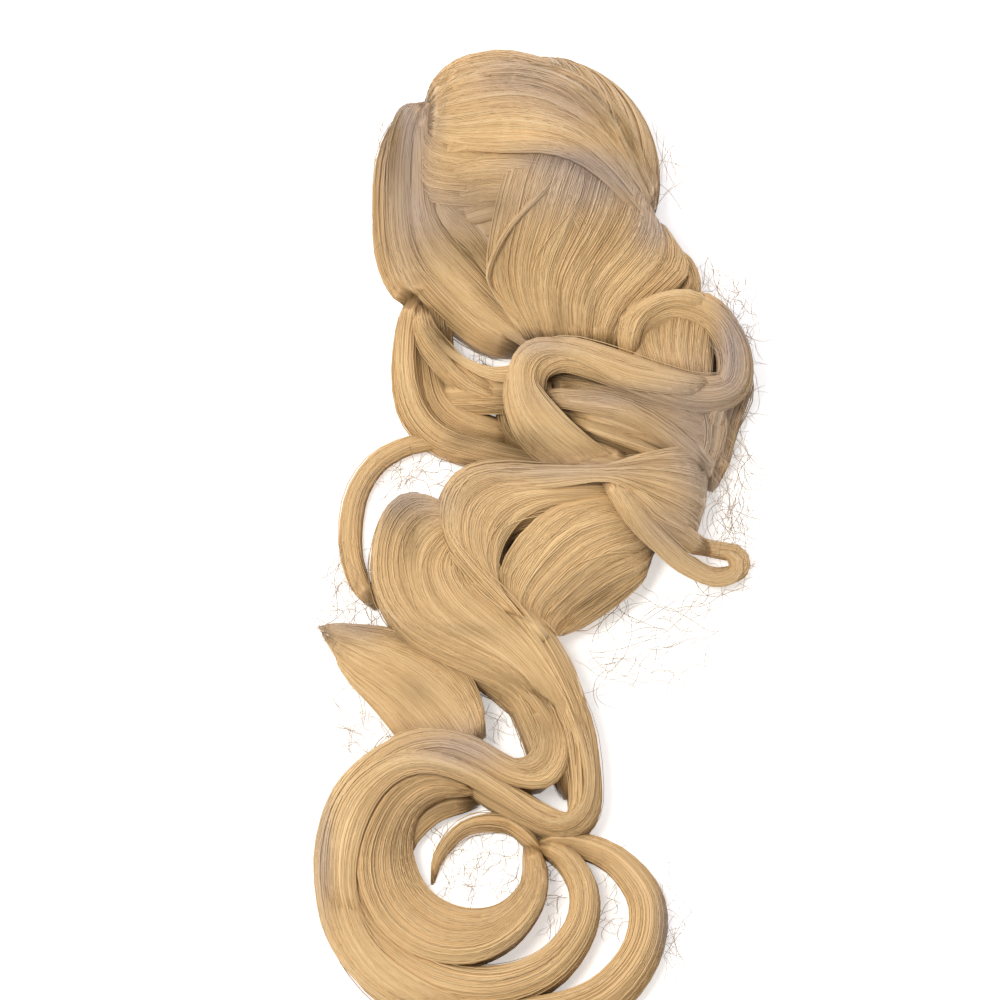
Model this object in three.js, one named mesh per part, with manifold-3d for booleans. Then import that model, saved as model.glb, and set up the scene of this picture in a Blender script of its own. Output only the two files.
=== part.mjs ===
// A clip-in hairpiece of long curled synthetic hair, laid on a flat surface.
// A plain claw clip sits under a dome of gathered roots. Thick locks sweep over the dome,
// fall in wide waves and end in one flat coil of curled tips.
// Millimetres, +Z up, the clip end towards +Y and the coil towards -Y.
import * as THREE from "three";
import Module from "manifold-3d";
import { mergeVertices } from "three/addons/utils/BufferGeometryUtils.js";

// Sizes of the laid hair. The crown is the dome of hair over the clip.
const LAID_LENGTH = 437;
const LAID_WIDTH = 189;
const CROWN_HEIGHT = 60;
const LOCK_WIDTH = 30;
const LOCK_DEPTH = 12;
const LOCK_GAP = 0.3;
const CROWN_INSET = 6;

// Sizes of the claw clip. Its jaws are two arched plates that end in teeth.
const CLIP_LENGTH = 80;
const CLIP_SPAN = 46;
const CLIP_HEIGHT = 32;
const CLIP_LIFT = 1.5;
const JAW_WALL = 2.4;
const TEETH_PER_JAW = 7;
const TOOTH_WIDTH = 6.5;
const TOOTH_SHARE = 0.62;
const TEETH_APART = 9;
const BARREL_RADIUS = 4.5;
const LEVER_LENGTH = 30;
const LEVER_REACH = 11;
const LEVER_HEIGHT = 12;
const LEVER_WALL = 2.6;
const CLIP_ROOM = 0.3;

// Shares of the clip's height: where its arch is widest, and how low the arch's curve turns in.
const BULGE_SHARE = 0.5;
const TURN_SHARE = 0.2;

// How finely the curved faces are cut.
const LOCK_SIDES = 8;
const STATIONS_PER_ROW = 1.25;
const ARCH_SEGMENTS = 5;
const BARREL_SIDES = 12;
const DOME_SIDES = 20;
const DOME_RINGS = 10;
const MERGE_WITHIN = 1e-4;

// The plan is a squared sheet laid over the hair: across runs to the right and along towards
// the clip, in squares, and the two sizes above stretch it. It is drawn as seen from a slope
// of VIEW_SLOPE degrees, so that a point that lies higher moves back along the surface.
const PLAN_COLUMNS = 43;
const PLAN_ROWS = 96;
const PLAN_MIDDLE = { across: 53, along: 47 };
const CROWN_PLACE = { across: 54, along: 82.3, columns: 24.8, rows: 24.8 };
const VIEW_SLOPE = 75;
const PERCENT = 0.01;

// A lock on the dome turns level where it leaves it: from this many radii out, over this many.
const CROWN_EDGE_END = 1.6;
const CROWN_EDGE = 0.5;

// A lock that reaches the surface is an arch this many times its height deep, cut off below.
const ARCH_SHARE = 1.2;

// Each row of a lock is [across, along, top, wide]: its place on the plan in squares, the height
// of its upper side in hundredths of CROWN_HEIGHT, and its width in hundredths of LOCK_WIDTH.
// A lock with deep is that many hundredths of LOCK_DEPTH thick. The others reach the surface.
const LOCKS = {
  crown: [
    { over_crown: true, deep: 110, rows: [
      [50, 94.4, 58, 36], [55.5, 93.8, 64, 44], [60, 91.4, 64, 46],
      [63.4, 87, 60, 44], [65, 81.6, 46, 40], [65.6, 76.5, 30, 28]] },
    { over_crown: true, deep: 110, rows: [
      [43, 90, 44, 40], [46, 93, 58, 58], [51.5, 93.6, 78, 62], [57, 91.8, 82, 64],
      [61, 88.2, 77, 62], [63.5, 83.5, 62, 54], [65.2, 78.5, 36, 40]] },
    { over_crown: true, deep: 110, rows: [
      [42.8, 88, 50, 46], [46, 89.6, 70, 62], [51, 89.8, 91, 68], [56, 88.2, 95, 70],
      [60.3, 85.2, 85, 64], [63.5, 81.1, 62, 52], [65.5, 77.5, 34, 36]] },
    { over_crown: true, deep: 110, rows: [
      [42.8, 85, 56, 44], [46.5, 86.2, 82, 54], [51, 86.4, 98, 60],
      [55.5, 85.4, 99, 60], [60.2, 83, 85, 52], [64.2, 79.6, 52, 38]] },
  ],
  right_loop: [
    { deep: 66, rows: [
      [60, 53.4, 72, 24], [63.2, 48.6, 66, 30], [67.2, 44.9, 40, 30], [71.2, 42.7, 22, 30],
      [73.9, 43.2, 16, 30], [73.7, 44.8, 16, 28], [70.4, 45.6, 24, 26], [67.4, 47.4, 42, 24]] },
    { deep: 66, rows: [
      [61, 52.6, 71, 30], [65, 49, 62, 40], [68.6, 46.4, 40, 38], [71.8, 44.8, 24, 28]] },
  ],
  curl_lock: [
    { deep: 120, rows: [
      [62.7, 64.6, 60, 40], [63.9, 68, 66, 46], [67.2, 69.8, 66, 50], [71.2, 68.6, 60, 50],
      [73.4, 65.4, 54, 52], [73.2, 61.8, 54, 58], [70, 60.8, 60, 68], [65.5, 61.8, 66, 72],
      [60.4, 64.3, 70, 72], [56.4, 65.9, 72, 70], [52.6, 64.9, 70, 66], [51, 61.6, 66, 66],
      [52, 57.4, 62, 68], [55.4, 54.7, 62, 70], [60.2, 53.7, 62, 60], [64, 53.3, 58, 40]] },
  ],
  fan: [
    { over_crown: true, deep: 100, rows: [
      [43.2, 82.4, 55, 40], [48, 83, 88, 60], [53, 83, 97, 66], [58, 82, 90, 70],
      [62, 79.6, 70, 70], [63.6, 76.4, 58, 66], [62, 73.6, 54, 60], [59.8, 70.4, 51, 54],
      [58.4, 66.8, 48, 40]] },
    { over_crown: true, deep: 100, rows: [
      [44, 80, 56, 40], [49, 81, 86, 60], [54, 80.4, 92, 62], [57.6, 78.6, 84, 60],
      [59, 75.2, 68, 58], [58.2, 71.2, 56, 52], [57, 66.8, 48, 40]] },
    { over_crown: true, deep: 100, rows: [
      [44.5, 77.6, 52, 40], [49.5, 79.2, 80, 56], [53, 78.4, 84, 58], [55, 75.6, 74, 56],
      [55.5, 71.6, 60, 52], [55.4, 66.8, 48, 40]] },
    { over_crown: true, deep: 130, rows: [
      [46, 75.4, 46, 36], [49.4, 76.4, 66, 54], [51.6, 74.4, 62, 54], [52.6, 70.8, 52, 48],
      [53.6, 66.8, 46, 36]] },
    { over_crown: true, deep: 130, rows: [
      [64.5, 79.3, 48, 40], [66.2, 76.6, 51, 54], [66.6, 73.8, 52, 60], [64.8, 71.2, 53, 60],
      [62.4, 68.2, 50, 54], [61, 65, 46, 40]] },
    { deep: 200, rows: [
      [66.8, 76, 42, 30], [68.6, 73.6, 40, 40], [68.6, 71.4, 42, 44], [66, 69.6, 46, 46],
      [63.8, 67.2, 46, 42], [62.7, 64.4, 44, 32]] },
    { deep: 200, rows: [
      [61, 74.6, 44, 40], [60.6, 71, 44, 44], [60, 67.6, 42, 44], [59, 64.6, 40, 36]] },
  ],
  left_loop: [
    { rows: [
      [43.2, 90, 40, 30], [40.6, 88.6, 40, 42], [39.2, 85.4, 38, 50], [38.8, 81, 36, 50],
      [38.9, 76, 34, 50], [39.8, 72.6, 32, 44], [41.5, 70.6, 32, 36]] },
    { rows: [
      [43.4, 88.4, 46, 36], [41.8, 86, 44, 50], [41, 82, 42, 54], [40.8, 78, 42, 56],
      [42, 74, 44, 60], [44.8, 70.6, 46, 60], [48.6, 67.6, 46, 56], [52.6, 65.8, 44, 44]] },
    { rows: [
      [43.6, 77, 44, 36], [45.4, 73.4, 48, 50], [48.6, 70.4, 48, 52], [52.8, 67.4, 44, 44]] },
    { rows: [
      [46, 77.5, 44, 40], [48.2, 74, 47, 54], [50.6, 70.8, 46, 52], [53.6, 67.2, 42, 44]] },
  ],
  left_bow: [
    { deep: 66, rows: [
      [45.2, 55.9, 22, 26], [43.2, 56, 21, 28], [40.4, 55.5, 19, 30], [37.4, 53.6, 17, 32],
      [35.5, 50.2, 15, 34], [35.1, 45.6, 15, 34], [36, 42, 17, 34], [37.6, 39.8, 20, 30]] },
  ],
  stream: [
    { rows: [
      [42.4, 51.2, 46, 40], [40.2, 49.2, 46, 56], [39.2, 45.6, 46, 62], [39.6, 41.8, 46, 66],
      [42, 38.2, 48, 68], [46.4, 35.4, 50, 68], [51.2, 33, 50, 66], [54.8, 29.4, 48, 64],
      [56.6, 24.8, 44, 60], [57, 20.8, 40, 50]] },
    { rows: [
      [43.4, 50.4, 54, 40], [42, 47, 56, 60], [42.4, 43, 56, 68], [45.6, 39.6, 58, 70],
      [50.6, 36.8, 60, 70], [54.6, 33.2, 58, 68], [57.2, 28.6, 54, 64], [58.2, 23.6, 48, 58],
      [58.2, 20, 44, 52], [56.6, 18.3, 42, 46], [53.2, 19.6, 42, 52], [49.2, 22.2, 44, 56],
      [45.2, 24.8, 44, 56], [41.4, 25.6, 40, 46]] },
    { rows: [
      [45.4, 50.6, 58, 36], [45, 46.6, 60, 60], [47.6, 42.6, 62, 66], [51.4, 39.2, 62, 64],
      [54.6, 35.6, 60, 58], [56.8, 31.2, 56, 52], [58, 26.6, 50, 42], [58.2, 22, 44, 32]] },
    { rows: [
      [52, 31, 44, 44], [53.9, 26.8, 42, 48], [54.3, 24, 40, 44], [52.8, 22.8, 38, 42],
      [49.6, 24, 40, 50], [45.6, 26, 42, 52], [41.6, 26.6, 40, 48], [37.6, 24.9, 34, 36]] },
  ],
  left_point: [
    { rows: [
      [53, 28, 30, 36], [51.8, 30.2, 32, 42], [48, 33.4, 32, 46], [43, 35.3, 30, 44],
      [37, 36.8, 24, 34], [31.8, 37.6, 14, 9]] },
    { rows: [
      [32, 37.3, 14, 10], [34.8, 34.6, 20, 34], [38.6, 31.2, 26, 50], [41.2, 28, 30, 56],
      [42.6, 24.8, 32, 54]] },
    { rows: [
      [34.4, 36, 20, 24], [39.8, 34, 27, 50], [44, 30.8, 31, 60], [46.8, 26.6, 32, 58]] },
  ],
  body_wave: [
    { rows: [
      [71, 53.4, 50, 46], [66, 54, 56, 60], [61, 53.2, 60, 66], [56, 52.6, 62, 68],
      [51, 53, 62, 68], [47.2, 52.4, 60, 66], [45.5, 49.8, 58, 64], [46, 46.6, 56, 64],
      [48.6, 43, 56, 62], [52.4, 39.2, 56, 56], [55.4, 35.4, 52, 48]] },
    { rows: [
      [70.2, 50.2, 46, 56], [65, 50.8, 54, 66], [59, 50.6, 58, 66], [53.4, 49.8, 60, 70],
      [49.6, 47.6, 60, 72], [49, 44.2, 58, 60], [50.4, 41, 56, 54], [53, 38.2, 50, 44]] },
    { rows: [
      [68, 47.8, 44, 56], [62, 47.8, 56, 66], [56.4, 46.8, 58, 66], [52.6, 44.2, 56, 60],
      [51.8, 40.8, 52, 50], [53.8, 37.6, 48, 42]] },
    { rows: [
      [66.4, 45.2, 40, 50], [61.4, 45, 52, 62], [57, 43.4, 52, 62], [54.4, 40.8, 48, 54],
      [54.6, 37.8, 42, 40]] },
    { rows: [
      [65.2, 43.2, 32, 40], [61.6, 41.8, 38, 54], [58.2, 40, 38, 54], [56, 38, 36, 46],
      [55.2, 36.6, 32, 34]] },
  ],
  right_drop: [
    { rows: [
      [66.4, 70, 46, 44], [69.2, 67, 46, 56], [70.4, 62.4, 44, 56], [70.4, 57.4, 40, 56],
      [69.6, 52.8, 36, 50]] },
    { rows: [
      [71.6, 68.6, 38, 40], [73.6, 65.2, 36, 44], [73.8, 61.6, 32, 44], [72.6, 58.2, 28, 42],
      [71.9, 54.6, 26, 38], [71, 51.4, 24, 28]] },
    { rows: [
      [52.6, 63, 44, 50], [59, 61.6, 46, 70], [65.5, 59.6, 46, 70], [70, 57.8, 42, 56]] },
    { rows: [
      [53.4, 60.4, 46, 50], [58, 57.8, 48, 70], [64, 56.2, 48, 70], [69, 54.6, 44, 50]] },
    { rows: [
      [66, 69.6, 42, 50], [65.6, 66, 44, 60], [66.6, 62.4, 44, 60], [67.4, 58.4, 42, 50]] },
  ],
  left_curl: [
    { rows: [
      [41.8, 71.4, 36, 34], [40.9, 68, 32, 42], [40.6, 63, 28, 46], [41.5, 59.2, 26, 48],
      [44, 56.6, 28, 48], [48.5, 55.2, 34, 48], [53.5, 54.1, 40, 44], [57, 53.4, 40, 36]] },
    { rows: [
      [42, 70.6, 48, 30], [42.6, 67.4, 48, 40], [44.8, 64.2, 48, 44], [48, 61.7, 46, 42],
      [51.4, 59.8, 42, 36]] },
    { rows: [
      [43, 68.6, 30, 30], [43.2, 64.2, 24, 36], [44.2, 60.4, 24, 48], [47.6, 58, 28, 54],
      [52, 57, 32, 38]] },
    { rows: [[50.8, 61.4, 38, 44], [51.6, 57.6, 36, 54], [54.6, 55, 38, 50]] },
  ],
  tail_coil: [
    { rows: [
      [44, 25, 36, 46], [38.8, 24, 36, 52], [34.7, 19.6, 34, 54], [33.4, 14, 32, 52],
      [34.8, 8, 32, 56], [39.4, 2.6, 34, 64], [46.8, -0.4, 36, 72], [54, -0.6, 36, 76],
      [60, 1.4, 34, 70], [63.9, 5.8, 32, 62], [64.5, 10.8, 30, 56], [61.4, 14.9, 30, 44],
      [57, 16.6, 32, 36], [53, 16.5, 30, 28]] },
    { rows: [
      [44.2, 24, 38, 46], [39.4, 22.4, 38, 64], [36, 18, 36, 68], [35.2, 13, 34, 68],
      [37.8, 7.4, 34, 70], [43, 3.5, 36, 72], [49, 2.4, 36, 72], [54.5, 4.2, 34, 62],
      [57.8, 8, 32, 50], [58.3, 12, 32, 44], [56.4, 15.2, 32, 38], [53.5, 16.6, 32, 30]] },
    { rows: [
      [46.5, 22.4, 34, 46], [41.2, 21.4, 34, 62], [37.8, 17, 32, 70], [37.4, 12, 30, 76],
      [40.5, 7.8, 30, 80], [45, 6.6, 32, 80], [49.8, 7.8, 32, 66], [52.8, 10.8, 30, 50],
      [53.5, 14, 30, 40], [52.8, 16.4, 32, 32]] },
    { rows: [
      [47.8, 20.8, 24, 30], [43, 19.4, 20, 42], [39.9, 15.6, 18, 44], [40.6, 11.4, 18, 42],
      [44, 9.2, 20, 36]] },
    { rows: [
      [53.6, 16.4, 34, 28], [50.6, 18.4, 24, 30], [46.6, 17.8, 18, 24], [44, 15, 14, 18],
      [43.2, 11.9, 10, 9]] },
  ],
};

const wasm = await Module();
wasm.setup();

// The plan's squares in millimetres, and the dome that they place.
const COLUMN = LAID_WIDTH / PLAN_COLUMNS;
const ROW = LAID_LENGTH / PLAN_ROWS;
const RISE_BACK = 1 / Math.tan(THREE.MathUtils.degToRad(VIEW_SLOPE));
const UP = new THREE.Vector3(0, 0, 1);
const CROWN = new THREE.Vector3(
  (CROWN_PLACE.across - PLAN_MIDDLE.across) * COLUMN,
  (CROWN_PLACE.along - PLAN_MIDDLE.along) * ROW,
  0,
);
const CROWN_RADII = new THREE.Vector3(
  (CROWN_PLACE.columns * COLUMN) / 2,
  (CROWN_PLACE.rows * ROW) / 2,
  CROWN_HEIGHT,
);

function planPoint(across, along, height) {
  return new THREE.Vector3(
    (across - PLAN_MIDDLE.across) * COLUMN,
    (along - PLAN_MIDDLE.along) * ROW - height * RISE_BACK,
    height,
  );
}

// The way a lock's flat side faces: straight up, or out from the crown's dome where it lies on it.
function facing(point, overCrown) {
  if (!overCrown) return UP.clone();
  const out = point.clone().sub(CROWN).divide(CROWN_RADII);
  const share = THREE.MathUtils.smoothstep(CROWN_EDGE_END - Math.hypot(out.x, out.y), 0, CROWN_EDGE);
  out.z = Math.max(out.z, 0);
  out.divide(CROWN_RADII);
  return UP.clone().multiplyScalar(1 - share).addScaledVector(out.normalize(), share).normalize();
}

// A solid's triangles as a mesh geometry, and a closed mesh geometry as a solid.
function geometryOf(solid) {
  const mesh = solid.getMesh();
  const geometry = new THREE.BufferGeometry();
  geometry.setAttribute("position", new THREE.BufferAttribute(mesh.vertProperties.slice(), 3));
  geometry.setIndex(new THREE.BufferAttribute(mesh.triVerts.slice(), 1));
  return geometry.toNonIndexed();
}

function solidOf(geometry) {
  const bare = geometry.clone();
  bare.deleteAttribute("normal");
  bare.deleteAttribute("uv");
  const merged = mergeVertices(bare, MERGE_WITHIN);
  return new wasm.Manifold(
    new wasm.Mesh({
      numProp: 3,
      vertProperties: new Float32Array(merged.attributes.position.array),
      triVerts: new Uint32Array(merged.index.array),
    }),
  );
}

// A lock as a closed tube with an oval section, or the same lock made thicker all round by grow.
function lockSolid(lock, grow) {
  const line = new THREE.CatmullRomCurve3(
    lock.rows.map(([across, along, top]) => planPoint(across, along, top * PERCENT * CROWN_HEIGHT)),
    false,
    "catmullrom",
  );
  const section = new THREE.CatmullRomCurve3(
    lock.rows.map(([, , top, wide]) => {
      const arch = top * PERCENT * CROWN_HEIGHT * ARCH_SHARE;
      const deep = lock.deep ? lock.deep * PERCENT * LOCK_DEPTH : arch;
      return new THREE.Vector3(wide * PERCENT * LOCK_WIDTH, deep, 0);
    }),
    false,
    "catmullrom",
  );
  const stations = Math.ceil((lock.rows.length - 1) * STATIONS_PER_ROW);
  const rings = [];
  for (let i = 0; i <= stations; i++) {
    const t = i / stations;
    const upper = line.getPoint(t);
    const tangent = line.getTangent(t);
    const side = tangent.clone().cross(facing(upper, lock.over_crown)).normalize();
    const out = side.clone().cross(tangent).normalize();
    const size = section.getPoint(t);
    const centre = upper.addScaledVector(out, -size.y / 2);
    if (i === 0) centre.addScaledVector(tangent, -grow);
    if (i === stations) centre.addScaledVector(tangent, grow);
    const ring = [];
    for (let k = 0; k < LOCK_SIDES; k++) {
      const angle = (k / LOCK_SIDES) * 2 * Math.PI;
      const point = centre
        .clone()
        .addScaledVector(side, (size.x / 2 + grow) * Math.cos(angle))
        .addScaledVector(out, (size.y / 2 + grow) * Math.sin(angle));
      point.z = Math.max(point.z, -grow);
      ring.push(point);
    }
    rings.push(ring);
  }
  return tube(rings);
}

// A closed skin over a row of rings, with flat ends.
function tube(rings) {
  const corners = [];
  const triangle = (a, b, c) => corners.push(...a.toArray(), ...b.toArray(), ...c.toArray());
  const middle = (ring) =>
    ring.reduce((sum, point) => sum.add(point), new THREE.Vector3()).divideScalar(ring.length);
  const cap = (ring, turned) => {
    const centre = middle(ring);
    ring.forEach((point, k) => {
      const next = ring[(k + 1) % ring.length];
      if (turned) triangle(centre, next, point);
      else triangle(centre, point, next);
    });
  };
  for (let i = 0; i + 1 < rings.length; i++)
    rings[i].forEach((a, k) => {
      const b = rings[i][(k + 1) % rings[i].length];
      const c = rings[i + 1][k];
      const d = rings[i + 1][(k + 1) % rings[i].length];
      triangle(a, c, b);
      triangle(b, c, d);
    });
  cap(rings[0], false);
  cap(rings.at(-1), true);
  const geometry = new THREE.BufferGeometry();
  geometry.setAttribute("position", new THREE.Float32BufferAttribute(corners, 3));
  return solidOf(geometry);
}

const joined = (solids) => solids.reduce((all, one) => all.add(one));
const biggest = (solid) =>
  solid.decompose().reduce((best, one) => (one.volume() > best.volume() ? one : best));

function box(width, length, height, x, y, z) {
  return solidOf(new THREE.BoxGeometry(width, length, height).translate(x, y, z));
}

// A flat outline in the clip's Y and Z, run along X to both sides of the clip's middle.
function alongX(shape, length) {
  const geometry = new THREE.ExtrudeGeometry(shape, {
    depth: length,
    bevelEnabled: false,
    curveSegments: ARCH_SEGMENTS,
  });
  const turned = new THREE.Matrix4().makeBasis(
    new THREE.Vector3(0, 1, 0),
    new THREE.Vector3(0, 0, 1),
    new THREE.Vector3(1, 0, 0),
  );
  return solidOf(geometry.applyMatrix4(turned).translate(-length / 2, 0, 0));
}

// The clip's outline seen from its end: an arch through the jaws' outer side, made wider by grow.
function archShape(grow) {
  const half = CLIP_SPAN / 2 + grow;
  const foot = TEETH_APART / 2 + JAW_WALL + grow;
  const low = CLIP_LIFT - grow;
  const high = CLIP_LIFT + CLIP_HEIGHT + grow;
  const bulge = CLIP_LIFT + CLIP_HEIGHT * BULGE_SHARE;
  const turn = low + (bulge - low) * TURN_SHARE;
  const shape = new THREE.Shape();
  shape.moveTo(-foot, low);
  shape.lineTo(foot, low);
  shape.quadraticCurveTo(half, turn, half, bulge);
  shape.quadraticCurveTo(half, high, 0, high);
  shape.quadraticCurveTo(-half, high, -half, bulge);
  shape.quadraticCurveTo(-half, turn, -foot, low);
  return shape;
}

// One thumb lever, leaning away from the spring barrel.
function leverShape(side) {
  const foot = CLIP_LIFT + CLIP_HEIGHT - JAW_WALL;
  const shape = new THREE.Shape();
  const points = [
    [0, foot],
    [LEVER_WALL, foot],
    [LEVER_REACH, foot + LEVER_HEIGHT],
    [LEVER_REACH - LEVER_WALL, foot + LEVER_HEIGHT],
  ].map(([y, z]) => [side * y, z]);
  if (side < 0) points.reverse();
  points.forEach(([y, z], i) => (i ? shape.lineTo(y, z) : shape.moveTo(y, z)));
  return shape;
}

function clawClip() {
  const hollow = archShape(-JAW_WALL);
  const slotWidth = (CLIP_LENGTH - TEETH_PER_JAW * TOOTH_WIDTH) / (TEETH_PER_JAW - 1);
  const slotHeight = CLIP_HEIGHT * TOOTH_SHARE;
  let clip = alongX(archShape(0), CLIP_LENGTH)
    .subtract(alongX(hollow, CLIP_LENGTH * 2))
    .subtract(box(CLIP_LENGTH * 2, TEETH_APART, CLIP_HEIGHT, 0, 0, 0));
  for (let i = 0; i + 1 < TEETH_PER_JAW; i++) {
    const x = -CLIP_LENGTH / 2 + TOOTH_WIDTH + slotWidth / 2 + i * (TOOTH_WIDTH + slotWidth);
    clip = clip.subtract(box(slotWidth, CLIP_SPAN * 2, slotHeight * 2, x, 0, CLIP_LIFT));
  }
  const barrel = new THREE.CylinderGeometry(BARREL_RADIUS, BARREL_RADIUS, LEVER_LENGTH, BARREL_SIDES)
    .rotateZ(Math.PI / 2)
    .translate(0, 0, CLIP_LIFT + CLIP_HEIGHT - BARREL_RADIUS);
  return joined([
    clip,
    solidOf(barrel),
    alongX(leverShape(1), LEVER_LENGTH),
    alongX(leverShape(-1), LEVER_LENGTH),
  ]);
}

// The room that the clip takes in the crown: its arch, its levers and the way in from below.
function clipRoom() {
  const leverTop = CLIP_LIFT + CLIP_HEIGHT - JAW_WALL + LEVER_HEIGHT + CLIP_ROOM;
  const bulge = CLIP_LIFT + CLIP_HEIGHT * BULGE_SHARE;
  const length = CLIP_LENGTH + 2 * CLIP_ROOM;
  const leverRoom = [LEVER_LENGTH + 2 * CLIP_ROOM, 2 * (LEVER_REACH + CLIP_ROOM), leverTop - bulge];
  return joined([
    alongX(archShape(CLIP_ROOM), length),
    box(length, CLIP_SPAN + 2 * CLIP_ROOM, 2 * bulge, 0, 0, 0),
    box(...leverRoom, 0, 0, (leverTop + bulge) / 2),
  ]);
}

// The gathered roots that carry the locks: a low dome, cut flat where it rests.
function rootDome(grow) {
  const radii = CROWN_RADII.clone().subScalar(CROWN_INSET - grow);
  const dome = new THREE.SphereGeometry(1, DOME_SIDES, DOME_RINGS)
    .rotateX(Math.PI / 2)
    .scale(...radii.toArray());
  const below = box(radii.x * 4, radii.y * 4, radii.z * 4, 0, 0, -radii.z * 2 - grow);
  return solidOf(dome).subtract(below).translate(CROWN.toArray());
}

// A group of locks joined into one solid, the crown's together with the roots that carry them.
function groupSolid(name, locks, grow) {
  const solids = locks.map((lock) => lockSolid(lock, grow));
  if (name === "crown") solids.push(rootDome(grow));
  return joined(solids);
}

// Every group of locks is one solid. A group gives way to those that are named before it.
function hairSolids() {
  const made = new Map();
  const taken = [clipRoom().translate(CROWN.toArray())];
  for (const [name, locks] of Object.entries(LOCKS)) {
    let solid = groupSolid(name, locks, 0);
    for (const other of taken) solid = solid.subtract(other);
    made.set(name, biggest(solid));
    taken.push(groupSolid(name, locks, LOCK_GAP));
  }
  return made;
}

const hairMaterial = () =>
  new THREE.MeshStandardMaterial({ color: 0xd9b27c, roughness: 0.45, metalness: 0 });
const clipMaterial = new THREE.MeshStandardMaterial({
  color: 0xc9a56f,
  roughness: 0.3,
  metalness: 0,
});

const hairpiece = new THREE.Group();
for (const [name, solid] of hairSolids()) {
  const mesh = new THREE.Mesh(geometryOf(solid), hairMaterial());
  mesh.name = name;
  hairpiece.add(mesh);
}
const clip = new THREE.Mesh(geometryOf(clawClip()), clipMaterial);
clip.name = "claw_clip";
clip.position.copy(CROWN);
hairpiece.add(clip);

// The origin is the middle of the laid piece, on the surface that it rests on.
const extent = new THREE.Box3().setFromObject(hairpiece, true);
const middle = extent.getCenter(new THREE.Vector3());
hairpiece.position.set(-middle.x, -middle.y, -extent.min.z);

export default hairpiece;
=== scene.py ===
"""A clip-in hairpiece of long curled synthetic hair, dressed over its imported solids.

Each lock has a body with combed grooves, and on it fine strands that follow it. Sheets of
hair, combed between guide lines, lie over the locks. Loose hairs and frizz come last.
Lengths are in millimetres until a mesh is made.
"""

import math

import bpy
import numpy as np
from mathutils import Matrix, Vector


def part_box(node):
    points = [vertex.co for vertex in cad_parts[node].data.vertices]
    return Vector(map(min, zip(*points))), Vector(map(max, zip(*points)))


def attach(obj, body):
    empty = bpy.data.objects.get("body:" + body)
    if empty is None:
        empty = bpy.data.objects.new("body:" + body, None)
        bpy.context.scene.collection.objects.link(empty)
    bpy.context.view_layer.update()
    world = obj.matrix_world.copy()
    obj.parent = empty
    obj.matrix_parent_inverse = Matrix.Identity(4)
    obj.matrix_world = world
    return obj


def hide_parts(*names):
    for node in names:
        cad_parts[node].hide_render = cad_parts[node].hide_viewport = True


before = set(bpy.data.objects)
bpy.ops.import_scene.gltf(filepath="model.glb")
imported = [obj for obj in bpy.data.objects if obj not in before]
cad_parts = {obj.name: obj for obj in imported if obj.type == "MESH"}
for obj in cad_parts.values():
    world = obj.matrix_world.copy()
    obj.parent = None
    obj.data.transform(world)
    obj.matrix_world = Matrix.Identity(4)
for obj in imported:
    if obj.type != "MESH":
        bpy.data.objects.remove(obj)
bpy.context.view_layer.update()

MM = 0.001
PERCENT = 0.01
SEED = 20

# Sizes of the laid hair, as in the part's source
LAID_LENGTH = 437
LAID_WIDTH = 189
CROWN_HEIGHT = 60
LOCK_WIDTH = 30
LOCK_DEPTH = 12
ARCH_SHARE = 1.2

# The squared plan that the locks are drawn on, as in the part's source
PLAN_COLUMNS = 43
PLAN_ROWS = 96
PLAN_MIDDLE = (53, 47)
CROWN_PLACE = (54, 82.3)
CROWN_SPREAD = (24.8, 24.8)
VIEW_SLOPE = 75
CROWN_EDGE_END = 1.6
CROWN_EDGE = 0.5
COLUMN = LAID_WIDTH / PLAN_COLUMNS
ROW = LAID_LENGTH / PLAN_ROWS
RISE_BACK = 1 / math.tan(math.radians(VIEW_SLOPE))

# Sizes of the strands, and how closely their rings follow a bend
STRAND_RADIUS = 0.22
LOOSE_RADIUS = 0.12
STRAND_SIDES = 3
STRANDS_PER_MM = 5.4
SHORTEST_STEP = 4.0
LONGEST_STEP = 12.0
CHORD_ERROR = 0.16
BEND_WINDOW = 6
FEWEST_RINGS = 7

# How much shorter than its lock or sheet a strand may be at either end, as shares of the length
RAGGED_SHARE = 0.15
RAGGED_SHORTER = 0.45
EVEN_SHORTER = 0.05

# Combed hair: its ridges, how deep its strands scatter, and the body that lies under them
CLUMP_WIDTH = 9.5
RIDGE = 0.5
RIDGE_SHARE = 0.12
SCATTER = 0.4
BODY_UNDER = 0.3
TAPER = 12.0
GRID = 60
GRID_SHARES = np.linspace(0, 1, GRID)

# Locks: how densely and how far past the upper half turn strands cover them, and their ends
LOCK_DENSITY = 0.82
LOCK_REACH = 0.8
LOCK_DIVE = 4.0
LOCK_END = 0.6
BODY_SIDES = 48

# Sheets: their strands, their thickness, and how far their ends and edges dive
SHEET_DENSITY = 1.1
SHEET_FILL = 1.4
SHEET_THICK = 6.0
SHEET_THICK_SHARE = 0.22
SHEET_DIVE = 4.5
SHEET_STEP = 1.6
EDGE_DIVE = 1.6
EDGE_WIDTH = 4.0
EDGE_THICK = 0.3
NARROWEST = 6

# Strands are left out where most of them lies inside other locks or well under a sheet
BURIED_SHARE = 0.8
INSIDE = 0.82
EVERY = 10
REACH_ALONG = 20
SHEET_COVER = 2.6

# The dome of roots: how far its skin and its hair lie inside the crown's size, and its hollow
DOME_INSET = (1.6, 1.4, 4.5)
DOME_HAIR_INSET = (0.5, 0.3, 3.0)
DOME_HOLLOW = (44.0, 27.0, 45.5)
DOME_SIDES = 96
DOME_RINGS = 14
DOME_STRANDS = 620
DOME_STRAND_RINGS = 20
DOME_THICK = 1.3

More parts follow.
